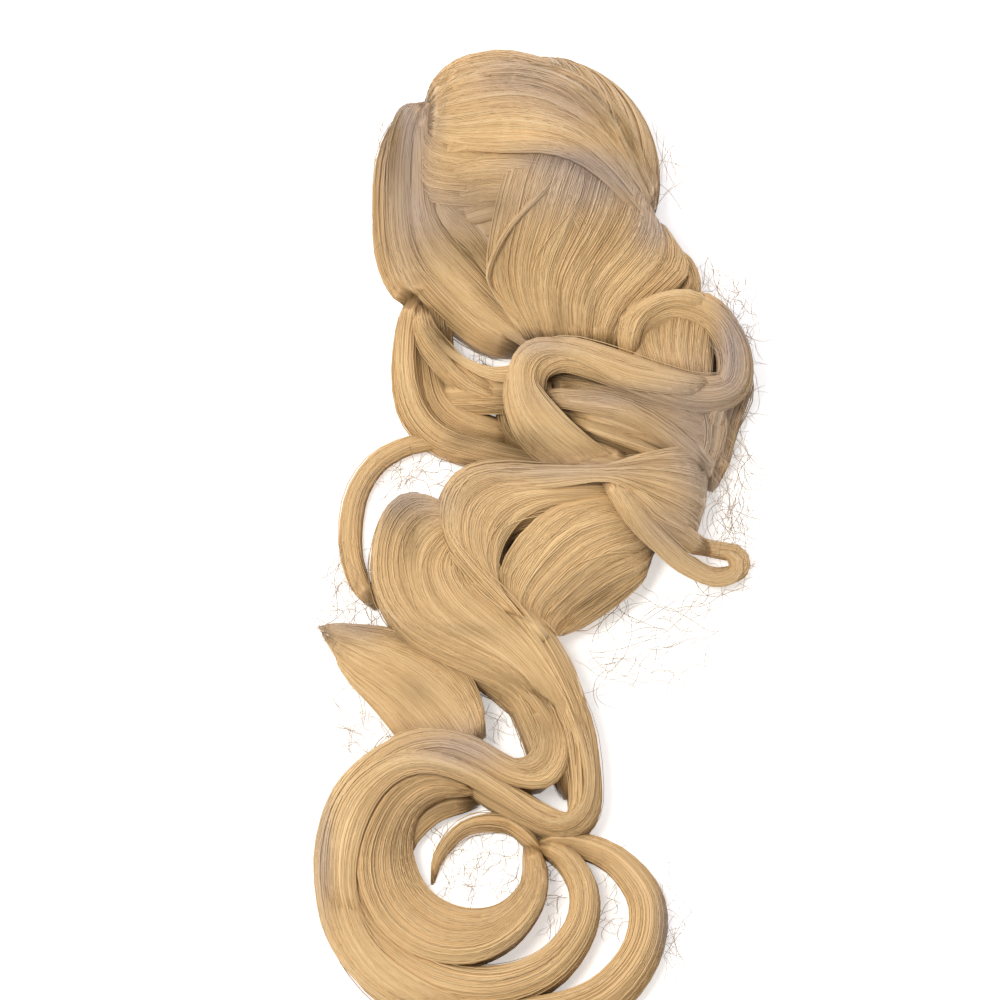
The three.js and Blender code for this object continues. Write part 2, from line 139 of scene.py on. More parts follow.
# The skirt behind the dome: heights as shares of the crown's, and reach in squares
SKIRT = ((0.03, 12.2), (0.13, 12.2), (0.24, 11.9), (0.36, 11.4))
SKIRT_TURN = (205, -25)

# Tones, from dark to light. Bodies and the dome's skin are painted darker than the strands, as shade
# under them; ridges get painted light on their crests and painted shade between them; lit places get
# a painted highlight
STRAND_TONE = 0.55
BODY_TONE_IN_SHADE = 0.5
ROOT_TONE = 0.45
DOME_TONE_IN_SHADE = 0.4
RIDGE_LIGHT_AND_SHADE = 0.08
TONE_SPREAD = 0.07
LIT_TINT = 0.42

# The map of heights, in millimetres
MAP_LOW = (-125, -250)
MAP_CELL = 2.0
MAP_CELLS = (125, 250)
FAR_BELOW = -99.0
SMOOTH_CELLS = 3

# How far under its surroundings a strand darkens with painted shade, in millimetres, and by how much
# tint
DEPTH_START = -1.0
DEPTH_REACH = 9.0
DEPTH_LEAST = -0.3
PAINTED_DEPTH_SHADE = 0.6

# The photograph's frame, in its own pixels
PHOTO_WIDTH = 1000
PIXELS_PER_SQUARE = 10
PHOTO_MIDDLE = (50, 50)
LENS = 300
SENSOR = 36


class Lock:
    """One lock. Its rows are (across, along, top, wide), as in the part's source."""

    DENSE = 240

    def __init__(self, rows, deep=None, over_crown=False):
        self.rows = np.array(rows, float)
        self.deep = deep
        self.over_crown = over_crown

    def lay(self, shift):
        """Works out the lock's middle line, its two cross directions and its half sizes."""
        across, along, top, wide = self.rows.T
        height = top * PERCENT * CROWN_HEIGHT
        deep = height * ARCH_SHARE
        if self.deep:
            deep = np.full(len(height), self.deep * PERCENT * LOCK_DEPTH)
        upper = plan_points(across, along, height)
        table = np.column_stack([upper, wide * PERCENT * LOCK_WIDTH, deep])
        fine = spline(table, np.linspace(0, 1, self.DENSE))
        steps = np.linalg.norm(np.diff(fine[:, :3], axis=0), axis=1)
        walked = np.concatenate([[0], np.cumsum(steps)])
        self.length = walked[-1]
        even = np.linspace(0, self.length, self.DENSE)
        fine = np.column_stack([np.interp(even, walked, column) for column in fine.T])
        tangent = unit(np.gradient(fine[:, :3], axis=0))
        side = unit(np.cross(tangent, facing(fine[:, :3], self.over_crown)))
        out = unit(np.cross(side, tangent))
        centre = fine[:, :3] - out * fine[:, 4:5] / 2 + shift
        self.dense = np.column_stack([centre, side, out, fine[:, 3:] / 2, tangent])
        return self

    def at(self, share):
        """The lock's values at shares of its length: middle, side, out, half sizes, tangent."""
        place = np.clip(share, 0, 1) * (self.DENSE - 1)
        low = np.minimum(place.astype(int), self.DENSE - 2)
        part = (place - low)[..., None]
        row = self.dense[low] * (1 - part) + self.dense[low + 1] * part
        return row[..., :3], row[..., 3:6], row[..., 6:9], row[..., 9], row[..., 10], row[..., 11:]


def unit(vectors):
    return vectors / (np.linalg.norm(vectors, axis=-1, keepdims=True) + 1e-12)


def plan_points(across, along, height):
    """Points of the plan on the surface, in millimetres, each at its height."""
    x = (across - PLAN_MIDDLE[0]) * COLUMN
    y = (along - PLAN_MIDDLE[1]) * ROW - height * RISE_BACK
    return np.stack([x, y, np.broadcast_to(height, np.shape(x))], axis=-1)


def spline(points, share):
    """The smooth curve through the points, at shares of its run."""
    first, last = 2 * points[0] - points[1], 2 * points[-1] - points[-2]
    padded = np.vstack([first, points, last])
    place = share * (len(points) - 1)
    low = np.minimum(place.astype(int), len(points) - 2)
    f = (place - low)[:, None]
    a, b, c, d = (padded[low + k] for k in range(4))
    return 0.5 * (2 * b + (c - a) * f + (2 * a - 5 * b + 4 * c - d) * f**2
                  + (3 * b - a - 3 * c + d) * f**3)


def crown_middle():
    return np.append(plan_points(*map(float, CROWN_PLACE), 0.0)[:2], 0)


def crown_radii():
    return np.array([CROWN_SPREAD[0] * COLUMN / 2, CROWN_SPREAD[1] * ROW / 2, CROWN_HEIGHT])


def facing(points, over_crown):
    """The way a lock's flat side faces: up, or out from the dome where it lies on it."""
    up = np.array([0.0, 0.0, 1.0])
    if not over_crown:
        return np.broadcast_to(up, points.shape)
    out = (points - crown_middle()) / crown_radii()
    edge = np.clip((CROWN_EDGE_END - np.hypot(out[:, 0], out[:, 1])) / CROWN_EDGE, 0, 1)
    share = (edge * edge * (3 - 2 * edge))[:, None]
    out[:, 2] = np.maximum(out[:, 2], 0)
    return unit(up * (1 - share) + unit(out / crown_radii()) * share)


# The locks of each group: the part's own, with a few rows moved nearer to the photo
LOCKS = {
    "crown": [
        Lock(over_crown=True, deep=110, rows=[
            (50, 94.4, 58, 36), (55.5, 93.8, 64, 44), (60, 91.4, 64, 46),
            (63.4, 87, 60, 44), (65, 81.6, 46, 40), (65.6, 76.5, 30, 28)]),
        Lock(over_crown=True, deep=110, rows=[
            (43, 90, 44, 40), (46, 93, 58, 58), (51.5, 93.6, 78, 62), (57, 91.8, 82, 64),
            (61, 88.2, 77, 62), (63.5, 83.5, 62, 54), (65.2, 78.5, 36, 40)]),
        Lock(over_crown=True, deep=110, rows=[
            (42.8, 88, 50, 46), (46, 89.6, 70, 62), (51, 89.8, 91, 68), (56, 88.2, 95, 70),
            (60.3, 85.2, 85, 64), (63.5, 81.1, 62, 52), (65.5, 77.5, 34, 36)]),
        Lock(over_crown=True, deep=110, rows=[
            (42.8, 85, 56, 44), (46.5, 86.2, 82, 54), (51, 86.4, 98, 60),
            (55.5, 85.4, 99, 60), (60.2, 83, 85, 52), (64.2, 79.6, 52, 38)]),
    ],
    "right_loop": [
        Lock(deep=66, rows=[
            (60, 53.4, 72, 24), (63.2, 48.6, 66, 30), (67.2, 44.9, 40, 30), (71.2, 42.7, 22, 30),
            (73.9, 43.2, 16, 30), (73.7, 44.8, 16, 28), (70.4, 45.6, 24, 26), (67.4, 47.4, 42, 24)]),
        Lock(deep=66, rows=[
            (61, 52.6, 71, 30), (65, 49, 62, 40), (68.6, 46.4, 40, 38), (71.8, 44.8, 24, 28)]),
    ],
    "curl_lock": [
        Lock(deep=120, rows=[
            (62.7, 64.6, 60, 40), (63.9, 68, 66, 46), (67.2, 69.8, 66, 50), (71.2, 68.6, 60, 50),
            (73.4, 65.4, 54, 52), (73.2, 61.9, 54, 56), (70, 61, 60, 60), (65.5, 62.1, 66, 58),
            (60.4, 64, 70, 56), (56.2, 65, 72, 56), (53.2, 63.7, 70, 60), (52.4, 60.6, 66, 64),
            (53.8, 57, 62, 66), (56.8, 54.9, 62, 66), (60.6, 53.9, 62, 60), (64, 53.3, 58, 40)]),
    ],
    "fan": [
        Lock(over_crown=True, deep=100, rows=[
            (43.2, 82.4, 55, 40), (48, 83, 88, 60), (53, 83, 97, 66), (58, 82, 90, 70),
            (62, 79.6, 70, 70), (63.6, 76.4, 58, 66), (62, 73.6, 54, 60), (59.8, 70.4, 51, 54),
            (58.4, 66.8, 48, 40)]),
        Lock(over_crown=True, deep=100, rows=[
            (44, 80, 56, 40), (49, 81, 86, 60), (54, 80.4, 92, 62), (57.6, 78.6, 84, 60),
            (59, 75.2, 68, 58), (58.2, 71.2, 56, 52), (57, 66.8, 48, 40)]),
        Lock(over_crown=True, deep=100, rows=[
            (44.5, 77.6, 52, 40), (49.5, 79.2, 80, 56), (53, 78.4, 84, 58), (55, 75.6, 74, 56),
            (55.5, 71.6, 60, 52), (55.4, 66.8, 48, 40)]),
        Lock(over_crown=True, deep=130, rows=[
            (46, 75.4, 46, 36), (49.4, 76.4, 66, 54), (51.6, 74.4, 62, 54), (52.6, 70.8, 52, 48),
            (53.6, 66.8, 46, 36)]),
        Lock(over_crown=True, deep=130, rows=[
            (64.5, 79.3, 48, 40), (66.2, 76.6, 51, 54), (66.6, 73.8, 52, 60), (64.8, 71.2, 53, 60),
            (62.4, 68.2, 50, 54), (61, 65, 46, 40)]),
        Lock(deep=200, rows=[
            (66.8, 76, 42, 30), (68.6, 73.6, 40, 40), (68.6, 71.4, 42, 44), (66, 69.6, 46, 46),
            (63.8, 67.2, 46, 42), (62.7, 64.4, 44, 32)]),
        Lock(deep=200, rows=[
            (61, 74.6, 44, 40), (60.6, 71, 44, 44), (60, 67.6, 42, 44), (59, 64.6, 40, 36)]),
    ],
    "left_loop": [
        Lock(rows=[
            (43.2, 90, 40, 30), (40.6, 88.6, 40, 42), (39.2, 85.4, 38, 50), (38.8, 81, 36, 50),
            (38.9, 76, 34, 50), (39.8, 72.6, 32, 44), (41.5, 70.6, 32, 36)]),
        Lock(rows=[
            (43.4, 88.4, 46, 36), (41.8, 86, 44, 50), (41, 82, 42, 54), (40.8, 78, 42, 56),
            (42, 74, 44, 60), (44.8, 70.6, 46, 60), (48.6, 67.6, 46, 56), (52.6, 65.8, 44, 44)]),
        Lock(rows=[
            (43.6, 77, 44, 36), (45.4, 73.4, 48, 50), (48.6, 70.4, 48, 52), (52.8, 67.4, 44, 44)]),
        Lock(rows=[
            (46, 77.5, 44, 40), (48.2, 74, 47, 54), (50.6, 70.8, 46, 52), (53.6, 67.2, 42, 44)]),
    ],
    "left_bow": [
        Lock(deep=66, rows=[
            (45.2, 55.9, 22, 26), (43.2, 56, 21, 28), (40.4, 55.5, 19, 30), (37.4, 53.6, 17, 32),
            (35.5, 50.2, 15, 34), (35.1, 45.6, 15, 34), (36, 42, 17, 34), (37.6, 39.8, 20, 30)]),
    ],
    "stream": [
        Lock(rows=[
            (42.4, 51.2, 46, 40), (40.2, 49.2, 46, 56), (39.2, 45.6, 46, 62), (39.6, 41.8, 46, 66),
            (42, 38.2, 48, 68), (46.4, 35.4, 50, 68), (51.2, 33, 50, 66), (54.8, 29.4, 48, 64),
            (56.6, 24.8, 44, 60), (57, 20.8, 40, 50)]),
        Lock(rows=[
            (43.4, 50.4, 54, 40), (42, 47, 56, 60), (42.4, 43, 56, 68), (45.6, 39.6, 58, 70),
            (50.6, 36.8, 60, 70), (54.6, 33.2, 58, 68), (57.2, 28.6, 54, 64), (58.2, 23.6, 48, 58),
            (58.2, 20, 44, 52), (56.6, 18.3, 42, 46), (53.2, 19.6, 42, 52), (49.2, 22.2, 44, 56),
            (45.2, 24.8, 44, 56), (41.4, 25.6, 40, 46)]),
        Lock(rows=[
            (45.4, 50.6, 58, 36), (45, 46.6, 60, 60), (47.6, 42.6, 62, 66), (51.4, 39.2, 62, 64),
            (54.6, 35.6, 60, 58), (56.8, 31.2, 56, 52), (58, 26.6, 50, 42), (58.2, 22, 44, 32)]),
        Lock(rows=[
            (48.6, 34.4, 42, 36), (52, 31, 44, 46), (53.9, 26.8, 42, 48), (54.3, 24, 40, 44),
            (52.8, 22.8, 38, 42), (49.6, 24, 40, 50), (45.6, 26, 42, 52), (41.6, 26.6, 40, 48),
            (37.6, 24.9, 34, 36)]),
    ],
    "left_point": [
        Lock(rows=[
            (53, 28, 30, 36), (51.8, 30.2, 32, 42), (48, 33.4, 32, 46), (43, 35.3, 30, 44),
            (37, 36.8, 24, 34), (31.8, 37.6, 14, 9)]),
        Lock(rows=[
            (32, 37.3, 14, 10), (34.8, 34.6, 20, 34), (38.6, 31.2, 26, 50), (41.2, 28, 30, 56),
            (42.6, 24.8, 32, 54)]),
        Lock(rows=[
            (34.4, 36, 20, 24), (39.8, 34, 27, 50), (44, 30.8, 31, 60), (46.8, 26.6, 32, 58)]),
    ],
    "body_wave": [
        Lock(rows=[
            (71, 53.4, 50, 46), (66, 54, 56, 60), (61, 53.2, 60, 66), (56, 52.6, 62, 68),
            (51, 53, 62, 68), (47.2, 52.4, 60, 66), (45.5, 49.8, 58, 64), (46, 46.6, 56, 64),
            (48.6, 43, 56, 62), (52.4, 39.2, 56, 56), (55.4, 35.4, 52, 48)]),
        Lock(rows=[
            (70.2, 50.2, 46, 56), (65, 50.8, 54, 66), (59, 50.6, 58, 66), (53.4, 49.8, 60, 70),
            (49.6, 47.6, 60, 72), (49, 44.2, 58, 60), (50.4, 41, 56, 54), (53, 38.2, 50, 44)]),
        Lock(rows=[
            (68, 47.8, 44, 56), (62, 47.8, 56, 66), (56.4, 46.8, 58, 66), (52.6, 44.2, 56, 60),
            (51.8, 40.8, 52, 50), (53.8, 37.6, 48, 42)]),
        Lock(rows=[
            (65.8, 45.3, 38, 36), (61.4, 45, 52, 62), (57, 43.4, 52, 62), (54.4, 40.8, 48, 54),
            (54.6, 37.8, 42, 40)]),
        Lock(rows=[
            (64.2, 43.2, 28, 24), (61.2, 41.8, 38, 50), (58.2, 40, 38, 54), (56, 38, 36, 46),
            (55.2, 36.6, 32, 34)]),
    ],
    "right_drop": [
        Lock(rows=[
            (66.4, 70, 46, 44), (69.2, 67, 46, 56), (70.4, 62.4, 44, 56), (70.4, 57.4, 40, 56),
            (69.6, 52.8, 36, 50)]),
        Lock(rows=[
            (71.6, 68.6, 38, 40), (73.6, 65.2, 36, 44), (73.8, 61.6, 32, 44), (72.6, 58.2, 28, 42),
            (71.9, 54.6, 26, 38), (71, 51.4, 24, 28)]),
        Lock(rows=[
            (52.6, 63, 44, 50), (59, 61.6, 46, 70), (65.5, 59.6, 46, 70), (70, 57.8, 42, 56)]),
        Lock(rows=[
            (53.4, 60.4, 46, 50), (58, 57.8, 48, 70), (64, 56.2, 48, 70), (69, 54.6, 44, 50)]),
        Lock(rows=[
            (66, 69.6, 42, 50), (65.6, 66, 44, 60), (66.6, 62.4, 44, 60), (67.4, 58.4, 42, 50)]),
    ],
    "left_curl": [
        Lock(rows=[
            (41.8, 71.4, 36, 34), (40.9, 68, 32, 42), (40.6, 63, 28, 46), (41.5, 59.2, 26, 48),
            (44, 56.6, 28, 48), (48.5, 55.2, 34, 48), (53.5, 54.1, 40, 44), (57, 53.4, 40, 36)]),
        Lock(rows=[
            (42, 70.6, 48, 30), (42.6, 67.4, 48, 40), (44.8, 64.2, 48, 44), (48, 61.7, 46, 42),
            (51.4, 59.8, 42, 36)]),
        Lock(rows=[
            (43, 68.6, 30, 30), (43.2, 64.2, 24, 36), (44.2, 60.4, 24, 48), (47.6, 58, 28, 54),
            (52, 57, 32, 38)]),
        Lock(rows=[(50.8, 61.4, 38, 44), (51.6, 57.6, 36, 54), (54.6, 55, 38, 50)]),
    ],
    "tail_coil": [
        Lock(rows=[
            (44, 25, 36, 46), (38.8, 24, 36, 52), (34.7, 19.6, 34, 54), (33.4, 14, 32, 52),
            (34.8, 8, 32, 56), (39.4, 2.6, 34, 64), (46.8, -0.4, 36, 72), (54, -0.6, 36, 76),
            (60, 1.4, 34, 70), (63.9, 5.8, 32, 62), (64.5, 10.8, 30, 56), (61.4, 14.9, 30, 44),
            (57, 16.6, 32, 36), (53, 16.5, 30, 28)]),
        Lock(rows=[
            (44.2, 24, 38, 46), (39.4, 22.4, 38, 64), (36, 18, 36, 68), (35.2, 13, 34, 68),
            (37.8, 7.4, 34, 70), (43, 3.5, 36, 72), (49, 2.4, 36, 72), (54.5, 4.2, 34, 62),
            (57.8, 8, 32, 50), (58.3, 12, 32, 44), (56.4, 15.2, 32, 38), (53.5, 16.6, 32, 30)]),
        Lock(rows=[
            (46.5, 22.4, 34, 46), (41.2, 21.4, 34, 62), (37.8, 17, 32, 70), (37.4, 12, 30, 76),
            (40.5, 7.8, 30, 80), (45, 6.6, 32, 80), (49.8, 7.8, 32, 66), (52.8, 10.8, 30, 50),
            (53.5, 14, 30, 40), (52.8, 16.4, 32, 32)]),
        Lock(rows=[
            (47.8, 20.8, 24, 30), (43, 19.4, 20, 42), (39.9, 15.6, 18, 44), (40.6, 11.4, 18, 42),
            (44, 9.2, 20, 36)]),
        Lock(rows=[
            (53.6, 16.4, 34, 28), (50.6, 18.4, 24, 30), (46.6, 17.8, 18, 24), (44, 15, 14, 18),
            (43.2, 11.9, 10, 9)]),
    ],
}

# Sheets of hair combed over the locks: guide lines side by side, of (across, along, top)
DRAPES = {
    "fan": [
        [[(52.8, 87.4, 94), (51, 84.6, 94), (49.7, 81.4, 93), (48.9, 77.8, 86), (48.6, 74, 76),
          (49.3, 71, 66), (51.2, 68, 57), (53.2, 65.2, 50)],
         [(55.6, 87.6, 97), (54.2, 84.9, 98), (52.8, 81.6, 98), (51.8, 77.8, 89), (51.2, 74, 75),
          (51.8, 70.5, 63), (53.1, 67.6, 54), (54.4, 64.8, 49)],
         [(59, 86.6, 87), (57.8, 84.3, 94), (56.6, 81.2, 95), (55.4, 77.6, 86), (54.2, 73.8, 74),
          (54.1, 70.4, 62), (54.9, 67.4, 54), (55.8, 64.6, 49)],
         [(62.6, 84.6, 70), (61.4, 82.6, 79), (60.4, 79.8, 81), (59, 76.6, 74), (57.3, 73.2, 67),
          (56.6, 70.2, 60), (56.8, 67.4, 54), (57.4, 64.6, 49)],
         [(64.9, 81.8, 50), (64.4, 80, 61), (63.8, 77.8, 64), (62.3, 75.3, 63), (60.4, 72.6, 60),
          (59.2, 70, 57), (58.8, 67.4, 53), (59, 64.6, 49)],
         [(65.8, 79.2, 42), (66.2, 77.8, 50), (66.3, 76.2, 54), (65.6, 74.2, 56),
          (63.8, 71.9, 57), (62, 69.6, 55), (61, 67.2, 52), (60.8, 64.4, 48)],
         [(66.4, 78.4, 32), (67.7, 76.6, 41), (68.8, 74.8, 45), (69, 72.8, 47), (67.4, 70.8, 51),
          (65.4, 68.8, 52), (63.8, 66.4, 50), (63.2, 64, 48)]],
        [[(42.6, 80.8, 52), (43.8, 78.3, 57), (45.5, 76.1, 58), (47.5, 73.9, 58), (49.9, 71, 56),
          (53.4, 66.2, 46)],
         [(42.6, 82.6, 52), (45, 80.6, 61), (47.2, 78.4, 64), (49, 75.6, 62), (51, 72, 57),
          (53.9, 66.4, 46)],
         [(42.8, 84, 44), (45.6, 82.2, 60), (48, 80, 68), (49.6, 77.2, 71), (51.4, 73.2, 62),
          (54.2, 66.8, 47)],
         [(44.5, 85, 56), (47, 83.4, 72), (49.4, 81.6, 78), (50.6, 78.6, 78), (52, 74.4, 67),
          (54.6, 67.2, 48)]],
        [[(56.8, 84.6, 92), (53.6, 81, 99), (50.6, 77.6, 91), (48.8, 74.2, 81), (48.4, 71.8, 73),
          (50.4, 69, 62), (53.4, 66, 44)],
         [(57.2, 84.4, 92), (54, 80.7, 100), (51, 77.3, 92), (49.2, 74, 82), (48.8, 71.7, 74),
          (50.7, 68.9, 63), (53.7, 65.9, 45)],
         [(57.6, 84.2, 91), (54.4, 80.4, 99), (51.4, 77, 91), (49.6, 73.8, 81), (49.2, 71.6, 73),
          (51, 68.8, 62), (54, 65.8, 44)]],
    ],
    "crown": [
        [[(41.4, 91, 24), (44.8, 94.6, 36), (49.4, 96.1, 40), (54, 95.4, 42), (58.8, 93.4, 40),
          (62.8, 89.6, 34), (65.6, 84.8, 28), (66.7, 79.2, 24)],
         [(41.5, 90.4, 36), (45.2, 93.6, 54), (50, 94.5, 62), (54.4, 93.6, 64), (58.6, 91.7, 62),
          (62.4, 88.4, 54), (65.2, 83.9, 44), (66.5, 78.6, 32)],
         [(41.6, 89.8, 42), (45.6, 92, 66), (50.6, 92.7, 77), (54.8, 91.9, 81), (58.6, 90.2, 78),
          (62, 87.1, 67), (64.6, 82.9, 53), (66.3, 78.1, 37)],
         [(41.6, 89.1, 46), (45.6, 90.3, 72), (51, 91, 88), (55.2, 90.2, 92), (58.7, 88.5, 87),
          (61.8, 85.6, 74), (64.3, 81.9, 57), (66.2, 77.8, 41)],
         [(41.6, 88.5, 48), (45.4, 88.4, 74), (50.8, 89, 93), (55.2, 88.3, 98), (58.6, 86.8, 92),
          (61.5, 84.2, 78), (64, 80.9, 60), (66.1, 77.4, 44)],
         [(41.6, 87.9, 48), (45.2, 87, 75), (50.4, 87, 98), (55, 86.6, 104), (58.4, 85.3, 98),
          (61.3, 83, 84), (63.8, 80.1, 65), (66, 77.1, 47)],
         [(41.6, 87.3, 48), (44.8, 85.7, 73), (49.6, 84.9, 98), (54.4, 84.9, 107), (57.9, 84, 102),
          (61, 82, 88), (63.6, 79.3, 68), (66, 76.6, 48)]],
        [[(42.6, 91, 40), (43.2, 88.8, 50), (44.8, 87.2, 66), (47.6, 86.4, 82), (50.8, 86, 93),
          (54, 85.8, 97)],
         [(41.8, 90, 43), (42.3, 87, 50), (43.8, 85.2, 64), (46.8, 84.4, 81), (50.2, 84.2, 92),
          (53.4, 84.2, 95)],
         [(41.6, 89, 43), (41.9, 85.4, 49), (43.2, 83.4, 60), (46.3, 82.6, 76), (49.8, 82.4, 88),
          (52.6, 82.6, 91)],
         [(41.4, 88, 42), (41.6, 84, 46), (42.8, 81.8, 55), (45.8, 81, 69), (49, 80.9, 82),
          (51.6, 81.1, 86)],
         [(41.3, 87, 41), (41.4, 82.8, 45), (42.6, 80.2, 52), (45.4, 79.3, 64), (48.4, 79.2, 76),
          (50.8, 79.4, 82)]],
    ],
    "tail_coil": [
        [[(51.4, 30, 40), (52.8, 27.4, 40), (52.9, 25.3, 39), (51.6, 24.7, 39), (49.8, 25.6, 41),
          (47.4, 26.9, 42), (44.2, 27.6, 42), (40.4, 27.1, 41), (36.4, 24.9, 38), (33.2, 21.4, 33),
          (31.6, 16.6, 30), (31.5, 12, 28), (32.6, 7, 28), (35.8, 2.4, 28), (41, -1, 25),
          (46.5, -2.8, 18)],
         [(53.8, 30.6, 46), (55.2, 27.6, 46), (55.3, 24.8, 45), (53.6, 22.9, 44), (50.8, 23.4, 45),
          (47.6, 25.4, 46), (44, 26.4, 47), (40.2, 25.6, 46), (36.8, 23, 43), (34.6, 19.2, 39),
          (33.8, 15.4, 37), (33.9, 11, 36), (35.2, 6.8, 37), (38.2, 3, 37), (42.8, 0.3, 34),
          (49, -1.4, 24)],
         [(55, 30, 48), (56.8, 27, 47), (56.8, 24, 45), (54.9, 21.7, 43), (51.2, 21.8, 44),
          (48.2, 23.2, 45), (45, 24.6, 46), (41.4, 24, 45), (38.2, 21.4, 43), (36.4, 17.8, 40),
          (35.7, 13.6, 38), (36.2, 9.4, 38), (38.4, 5.8, 39), (42, 3.2, 38), (46, 1.4, 35),
          (52.5, -0.8, 26)]],
        [[(47.6, 22.4, 40), (43.2, 23.5, 43), (39.4, 21.8, 42), (37, 18.2, 40), (36, 14.6, 39),
          (36.6, 10.8, 38), (38.8, 7.2, 38), (42.8, 4.9, 39), (47.8, 4.7, 39), (52, 7, 35),
          (54.3, 10.6, 32), (54.4, 14.4, 32)],
         [(47.8, 21, 38), (43.7, 21.8, 38), (40.7, 20.2, 36), (39, 17.3, 34), (38.4, 14.2, 33),
          (39.1, 11.2, 33), (41.1, 8.6, 34), (44.4, 6.9, 36), (48.4, 7.1, 36), (51.6, 9.2, 34),
          (53.4, 12, 31), (53.6, 15, 31)],
         [(48, 20, 30), (44.8, 20.2, 27), (42.4, 18.8, 24), (41.6, 16.4, 21), (42, 13.9, 20),
          (43, 11.9, 20), (44.8, 10.5, 21), (47.2, 9.9, 22), (49.6, 10.3, 23), (51.4, 11.8, 23),
          (52.3, 13.8, 24), (52.6, 15.6, 27)]],
    ],
    "stream": [
        [[(57, 32.6, 46), (58.8, 27.6, 46), (59.7, 23.4, 42), (59.3, 19.9, 39), (57.8, 17.7, 37),
          (55.4, 17.1, 37), (52.4, 18.4, 38), (49.6, 20.1, 41), (46.6, 21.8, 44), (43.6, 22.8, 46),
          (41, 22.7, 47), (38.8, 21.3, 46), (37.2, 19, 45), (36.2, 16.2, 43), (35.8, 13.2, 41),
          (36.2, 10, 39), (37.8, 7, 32)],
         [(56.2, 32, 55), (58, 27.3, 55), (58.9, 23.5, 51), (58.7, 20.4, 48), (57.4, 18.6, 46),
          (55.3, 18, 45), (52.7, 19.3, 46), (50, 21.2, 49), (46.8, 23.1, 51), (43.6, 24.1, 52),
          (40.8, 24.2, 51), (38.2, 23, 49), (35.9, 20.8, 47), (34.5, 17.8, 45), (34, 14.4, 43),
          (34.3, 10.6, 39), (35.8, 6.8, 32)],
         [(55.4, 31.4, 57), (57.2, 27, 55), (58.1, 23.6, 50), (58, 21.1, 46), (56.9, 19.5, 43),
          (55.2, 18.9, 43), (53, 20.2, 44), (50.4, 22.2, 46), (47.2, 24.1, 48), (44, 25.3, 49),
          (41, 25.7, 48), (37.8, 24.7, 46), (34.8, 22.5, 42), (33, 19.6, 39), (32.2, 15.6, 37),
          (32.4, 11, 34), (33.8, 6.4, 28)]],
        [[(46.2, 48.8, 48), (43.6, 50.4, 53), (40.6, 50.8, 50), (38.2, 48.8, 46), (37.3, 45, 44),
          (37.5, 41.4, 44), (39.6, 37.8, 45), (43.6, 35, 46), (48.6, 32.6, 44), (52.6, 29, 38)],
         [(46.4, 47.6, 49), (44.4, 49, 54), (42, 48.9, 54), (40.3, 47, 51), (39.6, 44, 50),
          (40.2, 40.8, 51), (42.4, 37.8, 53), (46.4, 35.6, 54), (51, 33.2, 53), (54.4, 29, 48)],
         [(46.6, 46.4, 50), (45.2, 47, 54), (43.8, 46, 57), (42.8, 44.2, 58), (43, 42, 58),
          (44.2, 39.7, 58), (46.4, 37.7, 59), (49.8, 35.6, 59), (53.2, 32.4, 57),
          (56, 28.2, 53)],
         [(46.8, 45.4, 50), (46.2, 44.6, 52), (46, 43.4, 55), (46.4, 42.2, 57), (47.4, 41, 59),
          (48.8, 39.8, 60), (50.8, 38, 61), (53.2, 35.4, 60), (55.7, 31.6, 57), (57.8, 26.8, 51)],
         [(48.6, 42.6, 50), (48.6, 41.8, 53), (49, 41, 56), (49.6, 40.2, 58), (50.6, 39.2, 60),
          (52, 37.8, 60), (53.8, 35.8, 59), (55.8, 32.8, 56), (57.8, 28.8, 51), (59.2, 24.4, 43)]],
    ],
    "left_point": [
        [[(31, 38, 12), (35, 37.9, 20), (40, 37.3, 26), (44.6, 35.6, 32), (47.4, 32.6, 34),
          (48.5, 29.6, 34), (48.9, 26.4, 33)],
         [(31.4, 37.4, 14), (35.4, 36.5, 25), (40.2, 35.1, 31), (44, 32.9, 36), (46.4, 30.2, 37),
          (47.5, 27.8, 36), (47.8, 25.4, 34)],
         [(31.8, 36.8, 14), (35.4, 34.9, 25), (39.6, 32.8, 32), (42.6, 30.4, 36), (44.8, 27.9, 36),
          (45.9, 26, 35), (46.2, 24.4, 34)],
         [(32.1, 36.1, 12), (34.9, 33.4, 21), (38.2, 31, 28), (40.8, 28.6, 32), (42.6, 26.4, 33),
          (43.5, 25, 33), (43.8, 23.8, 32)],
         [(32.4, 35.4, 8), (34.4, 32, 14), (37, 29.4, 20), (39.2, 26.8, 24), (40.6, 25, 26),
          (41.2, 24, 27), (41.4, 23, 27)]],
    ],
    "left_loop": [
        [[(41.6, 91, 40), (39.4, 89.6, 40), (38.2, 86, 38), (37.9, 81, 36), (38.2, 76, 34),
          (39.4, 72.4, 32), (41.4, 69.6, 28)],
         [(42.2, 91, 45), (40.6, 89, 46), (39.7, 85.6, 46), (39.4, 81, 45), (39.8, 76.2, 43),
          (41.2, 72.4, 40), (43, 69.8, 34)],
         [(42.6, 90.6, 48), (41.6, 88, 49), (41.2, 85, 49), (41.2, 81, 49), (41.9, 76.6, 48),
          (43.6, 72.8, 45), (45.2, 70.4, 38)]],
        [[(41.2, 89.8, 46), (40.8, 86, 46), (40.6, 82, 46), (40.8, 78, 46), (41.9, 74.4, 47),
          (44, 71.4, 47), (47, 68.7, 47), (51, 66, 44), (55, 63.8, 42)],
         [(42, 90.6, 50), (41.8, 86.2, 50), (41.8, 82, 50), (42.3, 78.2, 50), (44, 75, 51),
          (46.6, 72.2, 51), (49.4, 69.4, 50), (52.4, 66.7, 47), (56, 64.4, 44)],
         [(42.6, 91.2, 52), (42.8, 87, 53), (42.9, 83, 53), (43.9, 79.2, 53), (45.8, 76.4, 53),
          (48, 73.8, 53), (50.4, 70.8, 52), (53.6, 67.4, 49), (57, 65, 44)]],
    ],
    "left_curl": [
        [[(42.4, 70.6, 38), (42.8, 67.4, 34), (43.4, 64.4, 30), (44.6, 61.8, 27)],
         [(43.8, 70.2, 36), (44, 67.6, 30), (44.4, 65.2, 26), (45.2, 63, 24)],
